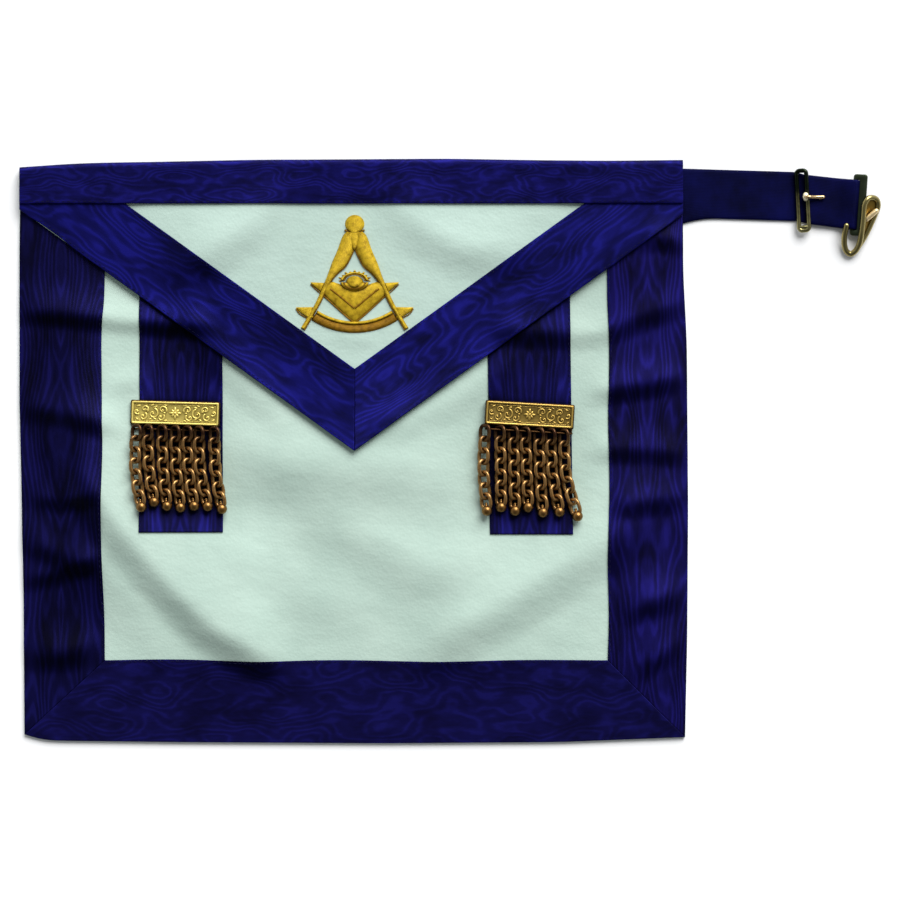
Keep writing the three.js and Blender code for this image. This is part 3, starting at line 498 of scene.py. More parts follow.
class Finish(Nodes):
    """A material of such nodes."""

    def __init__(self, name, **sockets):
        self.material = bpy.data.materials.new(name)
        self.material.use_nodes = True
        super().__init__(self.material.node_tree)
        self.shader = self.tree.nodes["Principled BSDF"]
        for socket, value in sockets.items():
            self.shader.inputs[socket.replace("_", " ")].default_value = value

    def noise(self, vector, scale, detail=3.0, roughness=0.5, **settings):
        inputs = {"Vector": vector, "Scale": scale, "Detail": detail, "Roughness": roughness}
        return self.node("TexNoise", inputs, **settings).outputs[0]

    def stretched(self, vector, scale, turn=0.0):
        inputs = {"Vector": vector, "Scale": scale, "Rotation": (0, 0, math.radians(turn))}
        return self.node("Mapping", inputs).outputs[0]

    def colours(self, factor, *stops):
        ramp = self.node("ValToRGB", {"Fac": factor})
        elements = ramp.color_ramp.elements
        while len(elements) < len(stops):
            elements.new(1.0)
        for element, (place, colour) in zip(elements, stops):
            element.position = place
            element.color = (*colour, 1)
        return ramp.outputs[0]

    def bump(self, height, strength, distance, normal=None):
        inputs = {"Height": height, "Strength": strength, "Distance": distance}
        if normal is not None:
            inputs["Normal"] = normal
        return self.node("Bump", inputs).outputs[0]

    def connect(self, **links):
        for socket, value in links.items():
            self.tree.links.new(value, self.shader.inputs[socket.replace("_", " ")])
        return self.material

    def place(self):
        return self.node("TexCoord").outputs["Object"]

    def weave(self):
        return self.node("UVMap", uv_map="weave").outputs[0]

    # Ambient occlusion, which the finishes use to paint shade into colours
    def open_sky(self, distance):
        return self.node("AmbientOcclusion", {"Distance": distance}, samples=8).outputs["AO"]

    def dimmed(self, colour, share):
        return self.node("VectorMath", {0: colour, "Scale": share}, operation="SCALE").outputs[0]

    def ribs(self, measure, pitch):
        return self.maths("SINE", self.maths("MULTIPLY", measure, 2 * math.pi / pitch))


def leather_finish(name, darkest_share, bright):
    finish = Finish(name, Roughness=0.6, Specular_IOR_Level=0.2, Sheen_Weight=0.05)
    place = finish.place()
    mottling = finish.noise(place, 17.0, 5.0, 0.6)
    colour = finish.colours(mottling, (0.34, darkest_share), (0.66, bright))
    grain = finish.noise(place, 900.0, 4.0, 0.65)
    pores = finish.node("TexVoronoi", {"Vector": place, "Scale": 520.0}).outputs["Distance"]
    height = finish.maths("ADD", finish.maths("MULTIPLY", grain, 0.7), pores)
    waves = finish.noise(finish.stretched(place, (26.0, 38.0, 60.0), 25.0), 1.0, 3.0, 0.5)
    normal = finish.bump(waves, 0.3, 0.004)
    normal = finish.bump(height, 0.4, 0.0002, normal)
    return finish.connect(Base_Color=colour, Normal=normal)


def ribbon_finish(name, seed, dark, light, lines=1500.0, swing=75.0, stretch=(13.0, 52.0), mirrored=False,
                  contact_shade=0.0, shade_on_slopes=True):
    """Moire: contour lines of a stretched noise, in brighter and darker patches, with a fine rib across."""
    finish = Finish(name, Roughness=0.42, Specular_IOR_Level=0.05, Metallic=0.5)
    parts = finish.parts(finish.weave())
    run, across = parts[0], parts[1]
    if mirrored:
        across = finish.maths("ABSOLUTE", across)
    warped = finish.node("CombineXYZ", {
        "X": finish.maths("MULTIPLY", run, stretch[0]),
        "Y": finish.maths("MULTIPLY", across, stretch[1]),
        "Z": seed,
    }).outputs[0]
    swell = finish.noise(warped, 1.0, 1.0, 0.35)
    shake = finish.noise(warped, 7.0, 2.0, 0.5)
    phase = finish.maths("MULTIPLY_ADD", swell, swing, finish.maths("MULTIPLY", across, lines))
    wave = finish.maths("SINE", finish.maths("MULTIPLY_ADD", shake, 3.0, phase))
    patches = finish.noise(warped, 1.7, 3.0, 0.55)
    patch = finish.ranged(patches, 0.33, 0.68)
    streaks = finish.noise(finish.stretched(finish.weave(), (120.0, 900.0, 1.0)), 1.0, 2.0, 0.6)
    thin = finish.maths("POWER", finish.maths("MULTIPLY_ADD", wave, 0.5, 0.5), 2.2)
    lined = finish.maths("MULTIPLY", finish.maths("MULTIPLY", thin, 0.5), finish.maths("ADD", patch, 0.25))
    factor = finish.maths("MULTIPLY_ADD", patch, 0.42, lined)
    factor = finish.maths("MULTIPLY_ADD", streaks, 0.2, factor)
    colour = finish.colours(factor, (0.08, dark), (0.9, light))
    # Painted shade: the colour is darker where the ground slopes away from the key light
    if shade_on_slopes:
        slope_darkness = finish.parts(finish.node("UVMap", uv_map="slope_shade").outputs[0])[0]
        colour = finish.dimmed(colour, finish.maths("MULTIPLY_ADD", slope_darkness, -0.75, 1.0))
    # Painted shade under the plates and chains that lie on the ribbon, by ambient occlusion
    if contact_shade:
        colour = finish.dimmed(colour, finish.ranged(finish.open_sky(contact_shade), 0.45, 0.95, 0.06))
    rib = finish.ribs(run, 0.0006)
    normal = finish.bump(finish.maths("MULTIPLY_ADD", wave, 0.5, rib), 0.22, 0.00012)
    return finish.connect(Base_Color=colour, Normal=normal)


def gilt_finish(name, bright, deep, roughness, worn=0.5, metallic=1.0, shaded=0.0, darkest_share=0.4):
    """Gilded metal with painted shade in its hollows, and painted darker up to that far along its own
    measure, in metres.
    """
    finish = Finish(name, Metallic=metallic)
    place = finish.place()
    stains = finish.noise(place, 260.0, 3.0, 0.6)
    wear = finish.maths("MULTIPLY_ADD", stains, worn, 1.0 - worn / 2)
    # Painted shade: darker in the hollows, by ambient occlusion
    factor = finish.maths("MULTIPLY", finish.open_sky(0.0014), wear)
    if shaded:
        # Painted darker towards the start of the finish's own measure
        down = finish.parts(finish.weave())[0]
        factor = finish.maths("MULTIPLY", factor, finish.ranged(down, 0.002, shaded, darkest_share))
    colour = finish.colours(factor, (0.35, deep), (0.9, bright))
    rough = finish.ranged(stains, 0.0, 1.0, roughness * 0.75, roughness * 1.5)
    normal = finish.bump(finish.noise(place, 1500.0, 2.0), 0.12, 0.0001)
    return finish.connect(Base_Color=colour, Roughness=rough, Normal=normal)


def thread_finish(name, dark, light, pitch=0.00045, slant=0.0, metallic=0.22):
    finish = Finish(name, Roughness=0.42, Specular_IOR_Level=0.12, Metallic=metallic)
    parts = finish.parts(finish.weave())
    wave = finish.ribs(finish.maths("MULTIPLY_ADD", parts[1], slant, parts[0]), pitch)
    jitter = finish.noise(finish.place(), 330.0, 3.0, 0.6)
    factor = finish.maths("MULTIPLY_ADD", wave, 0.16, finish.maths("MULTIPLY_ADD", jitter, 0.9, 0.1))
    # Painted shade: the threads are darker in the hollows between them, by ambient occlusion
    hollow = finish.maths("MULTIPLY", factor, finish.open_sky(0.0026))
    colour = finish.colours(hollow, (0.2, dark), (0.62, light))
    normal = finish.bump(wave, 0.5, 0.0001)
    return finish.connect(Base_Color=colour, Normal=normal)


def webbing_finish():
    finish = Finish("webbing_blue", Roughness=0.5, Specular_IOR_Level=0.05, Metallic=0.35)
    parts = finish.parts(finish.weave())
    height = finish.maths("MULTIPLY_ADD", finish.ribs(parts[1], 0.0009), 0.5, finish.ribs(parts[0], 0.0007))
    tone = finish.noise(finish.place(), 45.0, 4.0, 0.6)
    factor = finish.maths("MULTIPLY_ADD", height, 0.06, tone)
    colour = finish.colours(factor, (0.32, (0.0009, 0.0012, 0.014)), (0.74, (0.0028, 0.0036, 0.056)))
    return finish.connect(Base_Color=colour, Normal=finish.bump(height, 0.35, 0.00012))


# Ribbons: the moire's seed, its darkest and lightest colour, and what differs from the plain ribbon
# The ribbon pieces are copies of one ribbon, set lighter and darker from piece to piece as painted light and
# shade: the left border darkest, the flap ribbons lightest
RIBBONS = [
    ("side_left", 1.7, (0.0016, 0.0014, 0.0085), (0.0074, 0.0066, 0.08), {"mirrored": True}),
    ("side_right", 6.1, (0.0022, 0.0017, 0.012), (0.0105, 0.0082, 0.128), {"mirrored": True}),
    ("bottom", 3.2, (0.0042, 0.0035, 0.032), (0.0092, 0.0082, 0.105),
     {"lines": 700.0, "swing": 60.0, "stretch": (30.0, 60.0)}),
    ("band", 9.4, (0.0032, 0.0029, 0.033), (0.0096, 0.0089, 0.148),
     {"lines": 900.0, "swing": 70.0, "stretch": (34.0, 75.0), "shade_on_slopes": False}),
    ("flap_left", 4.4, (0.003, 0.003, 0.032), (0.0102, 0.0102, 0.185),
     {"lines": 380.0, "swing": 95.0, "stretch": (17.0, 48.0)}),
    ("flap_right", 8.8, (0.003, 0.003, 0.03), (0.0105, 0.0105, 0.185),
     {"lines": 380.0, "swing": 95.0, "stretch": (17.0, 48.0)}),
    ("tassel", 5.5, (0.0024, 0.0021, 0.014), (0.0112, 0.0102, 0.15), {"mirrored": True, "contact_shade": 0.009}),
]

# Metals: their bright and deep colour and roughness, and what differs from the plain gilt
METALS = [
    # The plates' gilt, as a lit copy painted brighter for the left plate and a shaded copy painted darker
    # for the right
    ("gilt_lit_copy", (0.9, 0.72, 0.18), (0.22, 0.15, 0.02), 0.3,
     {"metallic": 0.5, "shaded": 0.003, "darkest_share": 0.74}),
    ("gilt_shaded_copy", (0.54, 0.36, 0.08), (0.06, 0.033, 0.006), 0.3,
     {"metallic": 0.7, "shaded": 0.003, "darkest_share": 0.72}),
    # The rods and the plates' turned edges: gilt painted near black, as the shade under and beside the
    # plates
    ("gilt_painted_shade", (0.07, 0.034, 0.013), (0.01, 0.005, 0.002), 0.4, {}),
    # The chains are painted darker over their first 13 mm below the rod, as the plate's shadow
    ("gilt_chain", (0.34, 0.185, 0.062), (0.04, 0.015, 0.006), 0.26,
     {"worn": 1.0, "metallic": 0.85, "shaded": 0.013}),
    ("gilt_ball", (0.25, 0.13, 0.04), (0.02, 0.008, 0.003), 0.3, {}),
    ("gilt_web", (0.2, 0.125, 0.025), (0.06, 0.033, 0.006), 0.35, {"worn": 0.8}),
    ("antique_brass", (0.34, 0.28, 0.11), (0.03, 0.03, 0.01), 0.18, {"worn": 0.8}),
    # The slider's colour is painted darker towards its top
    ("antique_slider", (0.3, 0.27, 0.12), (0.012, 0.017, 0.009), 0.22,
     {"worn": 0.7, "shaded": 0.034, "darkest_share": 0.1}),
    # The end ring: the belt's olive gilt painted near black, as shade
    ("olive_gilt_in_shade", (0.05, 0.065, 0.038), (0.008, 0.011, 0.006), 0.3, {}),
    ("antique_rose", (0.6, 0.42, 0.22), (0.08, 0.04, 0.02), 0.2, {}),
    ("gilt_cream", (0.8, 0.62, 0.34), (0.2, 0.13, 0.05), 0.25, {"worn": 0.4, "metallic": 0.7}),
    # A pale brass for the knob on the slider's bar, which paints the highlight where the tongue wraps the
    # bar
    ("brass_painted_highlight", (1.0, 0.9, 0.62), (0.3, 0.22, 0.1), 0.25, {"worn": 0.3, "metallic": 0.45}),
]

leather = leather_finish("leather_white", (0.425, 0.56, 0.485), (0.475, 0.61, 0.53))
flap_leather = leather_finish("leather_flap", (0.445, 0.583, 0.512), (0.488, 0.63, 0.559))
ribbons = {name: ribbon_finish("ribbon_" + name, *row, **more) for name, *row, more in RIBBONS}
metals = {name: gilt_finish(name, *row, **more) for name, *row, more in METALS}
gold_thread = thread_finish("gold_thread", (0.11, 0.045, 0.001), (0.7, 0.47, 0.024))
# Dark brown thread for the emblem's cords and the band under its gold arc, which also paint shade
dark_cord_and_shade = thread_finish("brown_cord_and_shade", (0.055, 0.02, 0.0006), (0.3, 0.15, 0.006), 0.0008, 1.0)
stitching = thread_finish("stitch_thread", (0.0012, 0.001, 0.009), (0.0036, 0.0032, 0.04), 0.0004, 1.0, 0.0)
webbing = webbing_finish()


# Camera, light and floor
KEY_LIGHT = {"bearing": 68, "height": 38, "energy": 4.1, "spread": 46}
SKY_COLOUR = (0.94, 0.97, 1.0, 1)
FLOOR_HALF = 3.0
FLOOR_DOWN = 0.0002


def set_camera():
    data = bpy.data.cameras.new("camera")
    data.sensor_width = SENSOR
    data.lens = SENSOR * CAMERA_HEIGHT / VIEW_WIDTH
    data.clip_end = 20
    camera = bpy.data.objects.new("camera", data)
    camera.location = (*VIEW_CENTRE, CAMERA_HEIGHT)
    bpy.context.scene.collection.objects.link(camera)
    bpy.context.scene.camera = camera


def set_key_light():
    data = bpy.data.lights.new("key", "SUN")
    data.energy = KEY_LIGHT["energy"]
    data.angle = math.radians(KEY_LIGHT["spread"])
    sun = bpy.data.objects.new("key", data)
    bearing, height = math.radians(KEY_LIGHT["bearing"]), math.radians(KEY_LIGHT["height"])
    level = math.cos(height)
    towards = Vector((level * math.cos(bearing), level * math.sin(bearing), math.sin(height)))
    sun.rotation_euler = towards.to_track_quat("Z", "Y").to_euler()
    bpy.context.scene.collection.objects.link(sun)


def set_sky():
    """A soft tent: dim straight above, bright low down behind the apron's top."""
    world = bpy.data.worlds.new("studio")
    world.use_nodes = True
    sky = Nodes(world.node_tree)
    parts = sky.parts(sky.node("TexCoord").outputs["Generated"])
    low = sky.ranged(parts["Z"], 0.95, 0.25, 0.3, 1.0, interpolation_type="SMOOTHSTEP")
    behind = sky.ranged(parts["Y"], -1.0, 1.0, 0.1, 1.2)
    background = sky.tree.nodes["Background"]
    background.inputs[0].default_value = SKY_COLOUR
    sky.tree.links.new(sky.maths("MULTIPLY", low, behind), background.inputs[1])
    bpy.context.scene.world = world


def set_floor():
    finish = Finish("floor_pale", Roughness=0.9, Specular_IOR_Level=0.1)
    tone = finish.noise(finish.place(), 3.0, 2.0)
    colour = finish.colours(tone, (0.0, (0.95, 0.95, 0.95)), (1.0, (0.98, 0.98, 0.98)))
    mesh = bpy.data.meshes.new("floor")
    corners = [(x * FLOOR_HALF, y * FLOOR_HALF, 0) for x, y in ((-1, -1), (1, -1), (1, 1), (-1, 1))]
    mesh.from_pydata(corners, [], [(0, 1, 2, 3)])
    mesh.materials.append(finish.connect(Base_Color=colour))
    floor = bpy.data.objects.new("floor", mesh)
    floor.location.z = -FLOOR_DOWN
    bpy.context.scene.collection.objects.link(floor)


set_camera()
set_key_light()
set_sky()
bpy.context.scene.view_settings.view_transform = "Standard"
set_floor()

# The panel and its borders
top_edge, right_edge = edge_of(TOP_EDGE), edge_of(RIGHT_EDGE)
bottom_edge, left_edge = edge_of(BOTTOM_EDGE), edge_of(LEFT_EDGE)
top_inside = top_edge - (0, RIBBON + CLEAR)
stitch_heap = Heap()

# The threads of a seam: their length and radius, the gap between two, and how each dips into the cloth
SEAM_DASH = 2.3
SEAM_RADIUS = 0.17
SEAM_GAP = 0.9
SEAM_END = 1.5
SEAM_DIP = (-0.25, 0.06, 0.12, 0.06, -0.25)


def stitches(line, level):
    """A row of short threads that dip into the cloth at both ends."""
    line = np.asarray(line, float)
    total = lengths_along(line)[-1]
    places = np.linspace(0, SEAM_DASH, len(SEAM_DIP))
    for start in np.arange(SEAM_END, total - SEAM_DASH - SEAM_END, SEAM_DASH + SEAM_GAP):
        run = along(line, (start + places) / total)
        z = ground(run[:, 0], run[:, 1]) + level + SEAM_DIP
        vertices, faces = tube(np.column_stack([run, z]), SEAM_RADIUS, 5, capped=False)
        uv = np.repeat(places, 5)
        stitch_heap.add(vertices, faces, np.column_stack([uv, 0 * uv]))


def make_panel():
    sides = (bottom_edge, top_inside, left_edge[::-1], right_edge[::-1])
    cloth("panel_leather", "body_panel", sides, 0, LEATHER, leather, ((0, 0), 0), spacing=2.4)


def inside_line(rows, top):
    """A border's inner edge, from its mitre up to the top."""
    line = rounded_line(rows)[::-1]
    return np.vstack([line[line[:, 1] < top], (line[-1][0], top)])


def make_borders():
    level = BORDER - SINK
    left_top, right_top = top_inside[0][1], top_inside[-1][1]
    left_inside, right_inside = inside_line(LEFT_INSIDE, left_top), inside_line(RIGHT_INSIDE, right_top)
    cloth("border_ribbon_left", "border_left",
          (straight(left_edge[-1], left_inside[0]), straight((left_edge[0][0], left_top), left_inside[-1]),
           left_edge[::-1], left_inside),
          level, RIBBON, ribbons["side_left"], ((-178, 0), 90))
    right_end = straight(right_inside[-1], (right_edge[0][0], right_top))
    cloth("border_ribbon_right", "border_right",
          (straight(right_inside[0], right_edge[-1]), right_end, right_inside, right_edge[::-1]),
          level, RIBBON, ribbons["side_right"], ((179, 0), 90))
    inside = rounded_line(BOTTOM_INSIDE)
    cloth("border_ribbon_bottom", "border_bottom",
          (bottom_edge, inside, straight(bottom_edge[0], inside[0]), straight(bottom_edge[-1], inside[-1])),
          level, RIBBON, ribbons["bottom"], ((0, -152), 0))
    high = level + RIBBON
    for line in (left_inside + (-1.3, 0), right_inside + (1.3, 0), inside + (0, -1.3)):
        stitches(line[line[:, 1] < BAND_LOW - 2], high)


def make_tassel_ribbons():
    half = TASSEL_RIBBON_WIDTH / 2
    for side, row in TASSELS.items():
        foot, root, low = row["foot"], row["top"], row["end"]
        a, b = np.array((foot - half, low)), np.array((foot + half, low))
        c, d = np.array((root - half, TASSEL_RIBBON_TOP)), np.array((root + half, TASSEL_RIBBON_TOP))
        sides = (straight(a, b), straight(c, d), straight(a, c), straight(b, d))
        cloth("tassel_cloth_" + side, "tassel_ribbon_" + side, sides, BORDER - SINK, RIBBON,
              ribbons["tassel"], (((foot + root) / 2, 0), 90), 1.7)
        for one, other, over in ((a, c, 1.2), (b, d, -1.2)):
            stitches(straight(one + (over, 1), other + (over, 0)), BORDER - SINK + RIBBON)


def flap_edge(across, lift=0.0):
    return (TIP[0] + across, TIP[1] + abs(across) * math.tan(FLAP_SLOPE) + lift)


def flap_reach(sign):
    edge = left_edge if sign < 0 else right_edge
    return abs(across_at(edge, flap_edge(HALF_WIDTH)[1]) - TIP[0])


RIBBON_RISE = FLAP_RIBBON_WIDTH / math.cos(FLAP_SLOPE)

# Where a strip of the flap's leather shows outside its left ribbon, and how high it is there
LEATHER_SHOWS = {"from": 184.0, "half": 13.0, "high": 1.0}


def make_flap():
    tip = flap_edge(0, 0.4)
    left, right = flap_edge(-flap_reach(-1) + 1.5, 0.4), flap_edge(flap_reach(1) - 1.5, 0.4)
    middle = len(top_inside) // 2
    sides = (
        straight(tip, right, (right[0], top_inside[-1][1])),
        top_inside[:middle + 1] + (1.5, 0),
        straight(tip, left, (left[0], top_inside[0][1])),
        top_inside[middle:][::-1] - (1.5, 0),
    )
    cloth("flap_leather", "flap_panel", sides, FLAP, LEATHER, flap_leather, ((0, 0), 0),
          2.4)
    for side, sign in (("left", -1), ("right", 1)):
        reach = flap_reach(sign)
        shares = np.linspace(0, reach, 90)
        off = (shares - LEATHER_SHOWS["from"]) / LEATHER_SHOWS["half"]
        near = np.clip(1 - off**2, 0, 1) * (sign < 0)
        low = straight(*[flap_edge(sign * d, LEATHER_SHOWS["high"] * n) for d, n in zip(shares, near)])
        inner_reach = (FLAP_RIBBON_TOP - RIBBON_RISE) / math.tan(FLAP_SLOPE)
        inner = (TIP[0] + sign * inner_reach, FLAP_RIBBON_TOP)
        high = straight(flap_edge(0, RIBBON_RISE), inner)
        outer = (TIP[0] + sign * reach, FLAP_RIBBON_TOP)
        seam, end = straight(low[0], high[0]), straight(low[-1], outer, inner)
        sides = (low, high, seam, end) if sign > 0 else (low[::-1], high[::-1], end, seam)
        level = FLAP_RIBBON - SINK
        cloth("flap_cloth_" + side, "flap_ribbon_" + side, sides, level, RIBBON, ribbons["flap_" + side],
              ((TIP[0], RIBBON_RISE / 2), math.degrees(FLAP_SLOPE) * sign), 1.8)
        inset = 1.5 / math.cos(FLAP_SLOPE)
        stitches(low[2:-4] + (0, inset), level + RIBBON)
        line = along(high, np.linspace(0.01, 0.95, 60)) - (0, inset)
        stitches(line[line[:, 1] < BAND_LOW - 1.5], level + RIBBON)


# The band's fold over the top edge, and the step down between the places where the borders lie under it
BAND_FOLD = 2.6
BAND_STEP = 1.0
BAND_STEP_FROM = 118
BAND_STEP_TO = 142


def make_band():
    """The top band lies over the flap's root and turns down over the top edge in a round fold."""
    width = lengths_along(top_edge)[-1]
    crest = along(top_edge, stations(width, 2.0))
    x, crest_y = crest[:, 0], crest[:, 1]
    turn_y = crest_y - BAND_FOLD
    level = BAND + RIBBON - BAND_STEP * (1 - step(np.abs(x), BAND_STEP_FROM, BAND_STEP_TO))
    outer, inner, uv = [], [], []

    def add_row(outer_y, outer_z, inner_y, inner_z, measure):
        outer.append(np.stack([x, outer_y, outer_z], axis=1))
        inner.append(np.stack([x, inner_y, inner_z], axis=1))
        uv.append(np.stack([x, measure], axis=1))

    span = crest_y - BAND_LOW - BAND_FOLD
    for reach in stations(1.0, 0.06, (0.0, 0.004, 0.012, 0.03))[:-3]:
        y = BAND_LOW + span * reach
        z = ground(x, y) + level
        drop = edge_drop(np.minimum(reach * span, 1.0), 0.45)
        add_row(y, z - drop, y, z - RIBBON + drop, y - BAND_LOW)
    top = ground(x, turn_y) + level
    thin = BAND_FOLD - RIBBON
    for angle in np.radians([15, 30, 45, 60, 75, 90]):
        c, s = math.cos(angle), math.sin(angle)
        y = turn_y + BAND_FOLD * s
        add_row(y, top - BAND_FOLD + BAND_FOLD * c, turn_y + thin * s, top - BAND_FOLD + thin * c,
                y - BAND_LOW + BAND_FOLD * angle)
    for share in (0.7, 0.4, 0.15, 0.05):
        z = (top - BAND_FOLD) * share
        add_row(crest_y, z, crest_y - RIBBON, z, crest_y - BAND_LOW + top - z)
    vertices, faces = np.vstack(outer + inner), shell_faces(len(outer), len(x))
    made = piece("band_ribbon", vertices, faces, ribbons["band"], np.vstack(uv + uv), ["top_band"])
    low = np.column_stack([np.linspace(-201, 198, 200), np.full(200, BAND_LOW + 1.2)])
    along_x = low[:, 0]
    for part in (along_x < -BAND_STEP_TO, np.abs(along_x) < BAND_STEP_FROM, along_x > BAND_STEP_TO):
        down = BAND_STEP if abs(low[part][0][0]) < BAND_STEP_TO else 0.0
        stitches(low[part], BAND + RIBBON - down)


make_panel()
make_borders()
make_tassel_ribbons()
make_flap()
make_band()
stitch_heap.piece("stitches", stitching, "ribbon")


# The tassels' plates, chains and balls
def rounded_rectangle(length, width, corner, steps=5):
    x, y = length / 2 - corner, width / 2 - corner
    angles = np.linspace(0, math.pi / 2, steps + 1)
    points = []
    for quarter, (cx, cy) in enumerate([(x, y), (-x, y), (-x, -y), (x, -y)]):
        for angle in angles + quarter * math.pi / 2:
            points.append((cx + corner * math.cos(angle), cy + corner * math.sin(angle)))
    return np.array(points)


def above_field(vertices):
    """The finish's own measure of a plate: how far each place lies above the field, which the finish paints
    darker as shade in the recess.
    """
    return np.repeat(2.0 + 1.2 * (np.asarray(vertices)[:, 2:] - PLATE["thick"] + PLATE["recess"]), 2, axis=1)


def plate_shell(plate, walls):
    """The turned edge, painted dark as the shade of the plate's side wall, and the bright rim with the field
    inside it.
    """
    thick, rim, wall = PLATE["thick"], PLATE["rim"], PLATE["wall"]
    field = thick - PLATE["recess"]
    lower = [
        (wall, field - wall, 0.4), (wall, 0.0, 0.4), (0.0, 0.0, 1.0), (0.0, thick - 0.8, 1.0),
        (0.25, thick - 0.4, 0.9), (0.75, thick - 0.1, 0.8),
    ]
    upper = [
        (0.75, thick - 0.1, 0.8), (0.95, thick + 0.05, 0.7), (rim + 0.35, thick - 0.05, 0.6),
        (rim + 0.5, thick - 0.3, 0.5), (rim + 0.6, field + 0.1, 0.45), (rim + 0.8, field, 0.4),
    ]
    for heap, rows, end in ((walls, lower, 0), (plate, upper, 1)):
        rings = []
        for inset, z, corner in rows:
            size = (PLATE["length"] - 2 * inset, PLATE["width"] - 2 * inset)
            rings.append(at_height(rounded_rectangle(*size, corner * PLATE["corner"] + 0.2), z))
        faces = grid_faces(len(rings), len(rings[0]), wrap=True).tolist()
        faces.append(end_caps(len(rings), len(rings[0]))[end])
        heap.add(np.vstack(rings), faces, above_field(np.vstack(rings)))


def spiral(radius, start_deg, sweep_deg, z):
    t = np.linspace(0, 1, SCROLL_STEPS)
    angle = np.radians(start_deg + sweep_deg * t)
    reach = radius * (1 - SCROLL_SHRINK * t)
    return at_height(np.column_stack([reach * np.cos(angle), reach * np.sin(angle)]), z)


def petal(centre, turn_deg, length, width, z, height):
    profile = [(0.02, -1.0), (0.35, -0.9), (0.8, -0.5), (1.0, 0.0), (0.85, 0.45), (0.5, 0.8), (0.02, 1.0)]
    vertices, faces = lathe(profile, 10)
    vertices = vertices[:, [2, 0, 1]] * (length / 2, width / 2, height)
    return turned(vertices + (length / 2, 0, 0), turn_deg, (*centre, z)), faces


# Scrolls on one half of a plate, from its middle outwards: x, y, radius, and where they start and sweep to
SCROLLS = [
    (7.6, 1.9, 2.5, 200, -330), (8.6, -2.6, 2.2, 150, 320), (13.4, -0.6, 3.3, 110, 340),
    (18.4, 2.2, 2.3, 215, -330), (19.4, -2.3, 2.4, 130, 330), (23.2, 0.5, 1.7, -120, 300),
]
SCROLL_STEPS = 34
SCROLL_SHRINK = 0.72

# Leaves on one half of a plate: x, y, turn and length
LEAVES = [
    (4.6, 4.2, 20, 3.0), (4.6, -4.3, -15, 3.0), (10.6, 4.2, -20, 3.4), (10.9, -4.5, 30, 3.2),
    (15.2, 3.9, 150, 2.8), (16.6, -4.4, 160, 2.8), (20.8, 4.4, -15, 3.2), (21.8, -4.5, 25, 2.8),
    (5.4, 0.0, 0, 2.2), (16.9, 0.4, 80, 2.2),
]


def plate_ornament(plate):
    z = PLATE["thick"] - PLATE["recess"]
    border = rounded_rectangle(PLATE["length"] - 5.2, PLATE["width"] - 5.2, 0.6)
    shapes = [tube(at_height(border, z + 0.1), 0.24, 8, closed=True)]
    for k in range(8):
        shapes.append(petal((0, 0), 45 * k, 3.2 if k % 2 else 4.0, 1.8, z, 0.7))
    shapes.append(petal((-1.1, 0), 0, 2.2, 2.2, z + 0.35, 0.9))
    for sign in (1, -1):
        for x, y, radius, start, sweep in SCROLLS:
            line = spiral(radius, start, sweep, z + 0.08)
            line[:, 0] = sign * (line[:, 0] + x)
            line[:, 1] += y
            shapes.append(tube(line, np.linspace(0.66, 0.45, len(line)), 8))
            shapes.append(petal((sign * x - 0.7, y), 0, 1.4, 1.4, z, 0.75))
        for x, y, turn, length in LEAVES:
            out = turn if sign > 0 else 180 - turn
            shapes.append(petal((sign * x, y), out, length, 1.2, z, 0.58))
    for vertices, faces in shapes:
        plate.add(vertices, faces, above_field(vertices))


def plate_rod(heap):
    half = PLATE["length"] / 2 - 0.9
    line = np.column_stack([np.linspace(-half, half, 30), np.full(30, -ROD_DOWN), np.full(30, CHAIN_RISE)])
    heap.add(*tube(line, ROD / 2, 12))
    for x in (-half + 0.4, half - 0.4):
        post = straight((x, -ROD_DOWN, CHAIN_RISE), (x, -PLATE["width"] / 2 + 0.6, CHAIN_RISE))
        heap.add(*tube(post, ROD / 2, 10))


def chain_route(row, chain):
    """The chain's centre line in the plate's own place, from the rod to its ball's centre."""
    tilt = math.radians(row["tilt"])
    c, s = math.cos(tilt), math.sin(tilt)
    rod, halfway, ball, down = chain
    start = (rod * c + ROD_DOWN * s, rod * s - ROD_DOWN * c)
    middle = (halfway, (start[1] - down) / 2)
    return rounded_line([start, middle, (ball, -down)], 30)


def on_chain(row, line, distance):
    """A place on the chain and the turn of its run there."""
    share = distance / lengths_along(line)[-1]
    here, after, before = along(line, [share, min(share + 0.01, 1.0), max(share - 0.01, 0.0)])
    run = after - before
    x, y = here + row["plate"]
    z = ground(x, y) + FLAP + CHAIN_RISE
    return (x, y, float(z)), math.degrees(math.atan2(run[1], run[0])) + 90


def chain_ring(length, sign):
    radius = (RING_WIDTH - RING_WIRE) / 2
    angles = np.linspace(0, 2 * math.pi, 28, endpoint=False)
    across, up = [np.sign(part) * np.abs(part) ** RING_SQUARE for part in (np.cos(angles), np.sin(angles))]
    line = np.column_stack([radius * across, (length - RING_WIRE) / 2 * up, np.zeros(28)])
    vertices, faces = tube(line, RING_WIRE / 2, 8, closed=True)
    return leaning(vertices, RING_LEAN * sign), faces


def ball_shape():
    radius = BALL / 2
    rows = [(0.05, -radius)]
    for degrees in np.linspace(-80, 66, 14):
        angle = math.radians(degrees)
        rows.append((radius * math.cos(angle), radius * math.sin(angle)))
    rows += [(1.05, radius + 0.1), (0.9, radius + 0.5), (0.95, radius + 1.0)]
    rows += [(0.9, radius + NECK), (0.3, radius + NECK + 0.3)]
    vertices, faces = lathe(rows, 24)
    return vertices[:, [0, 2, 1]] * (1, 1, -1), faces


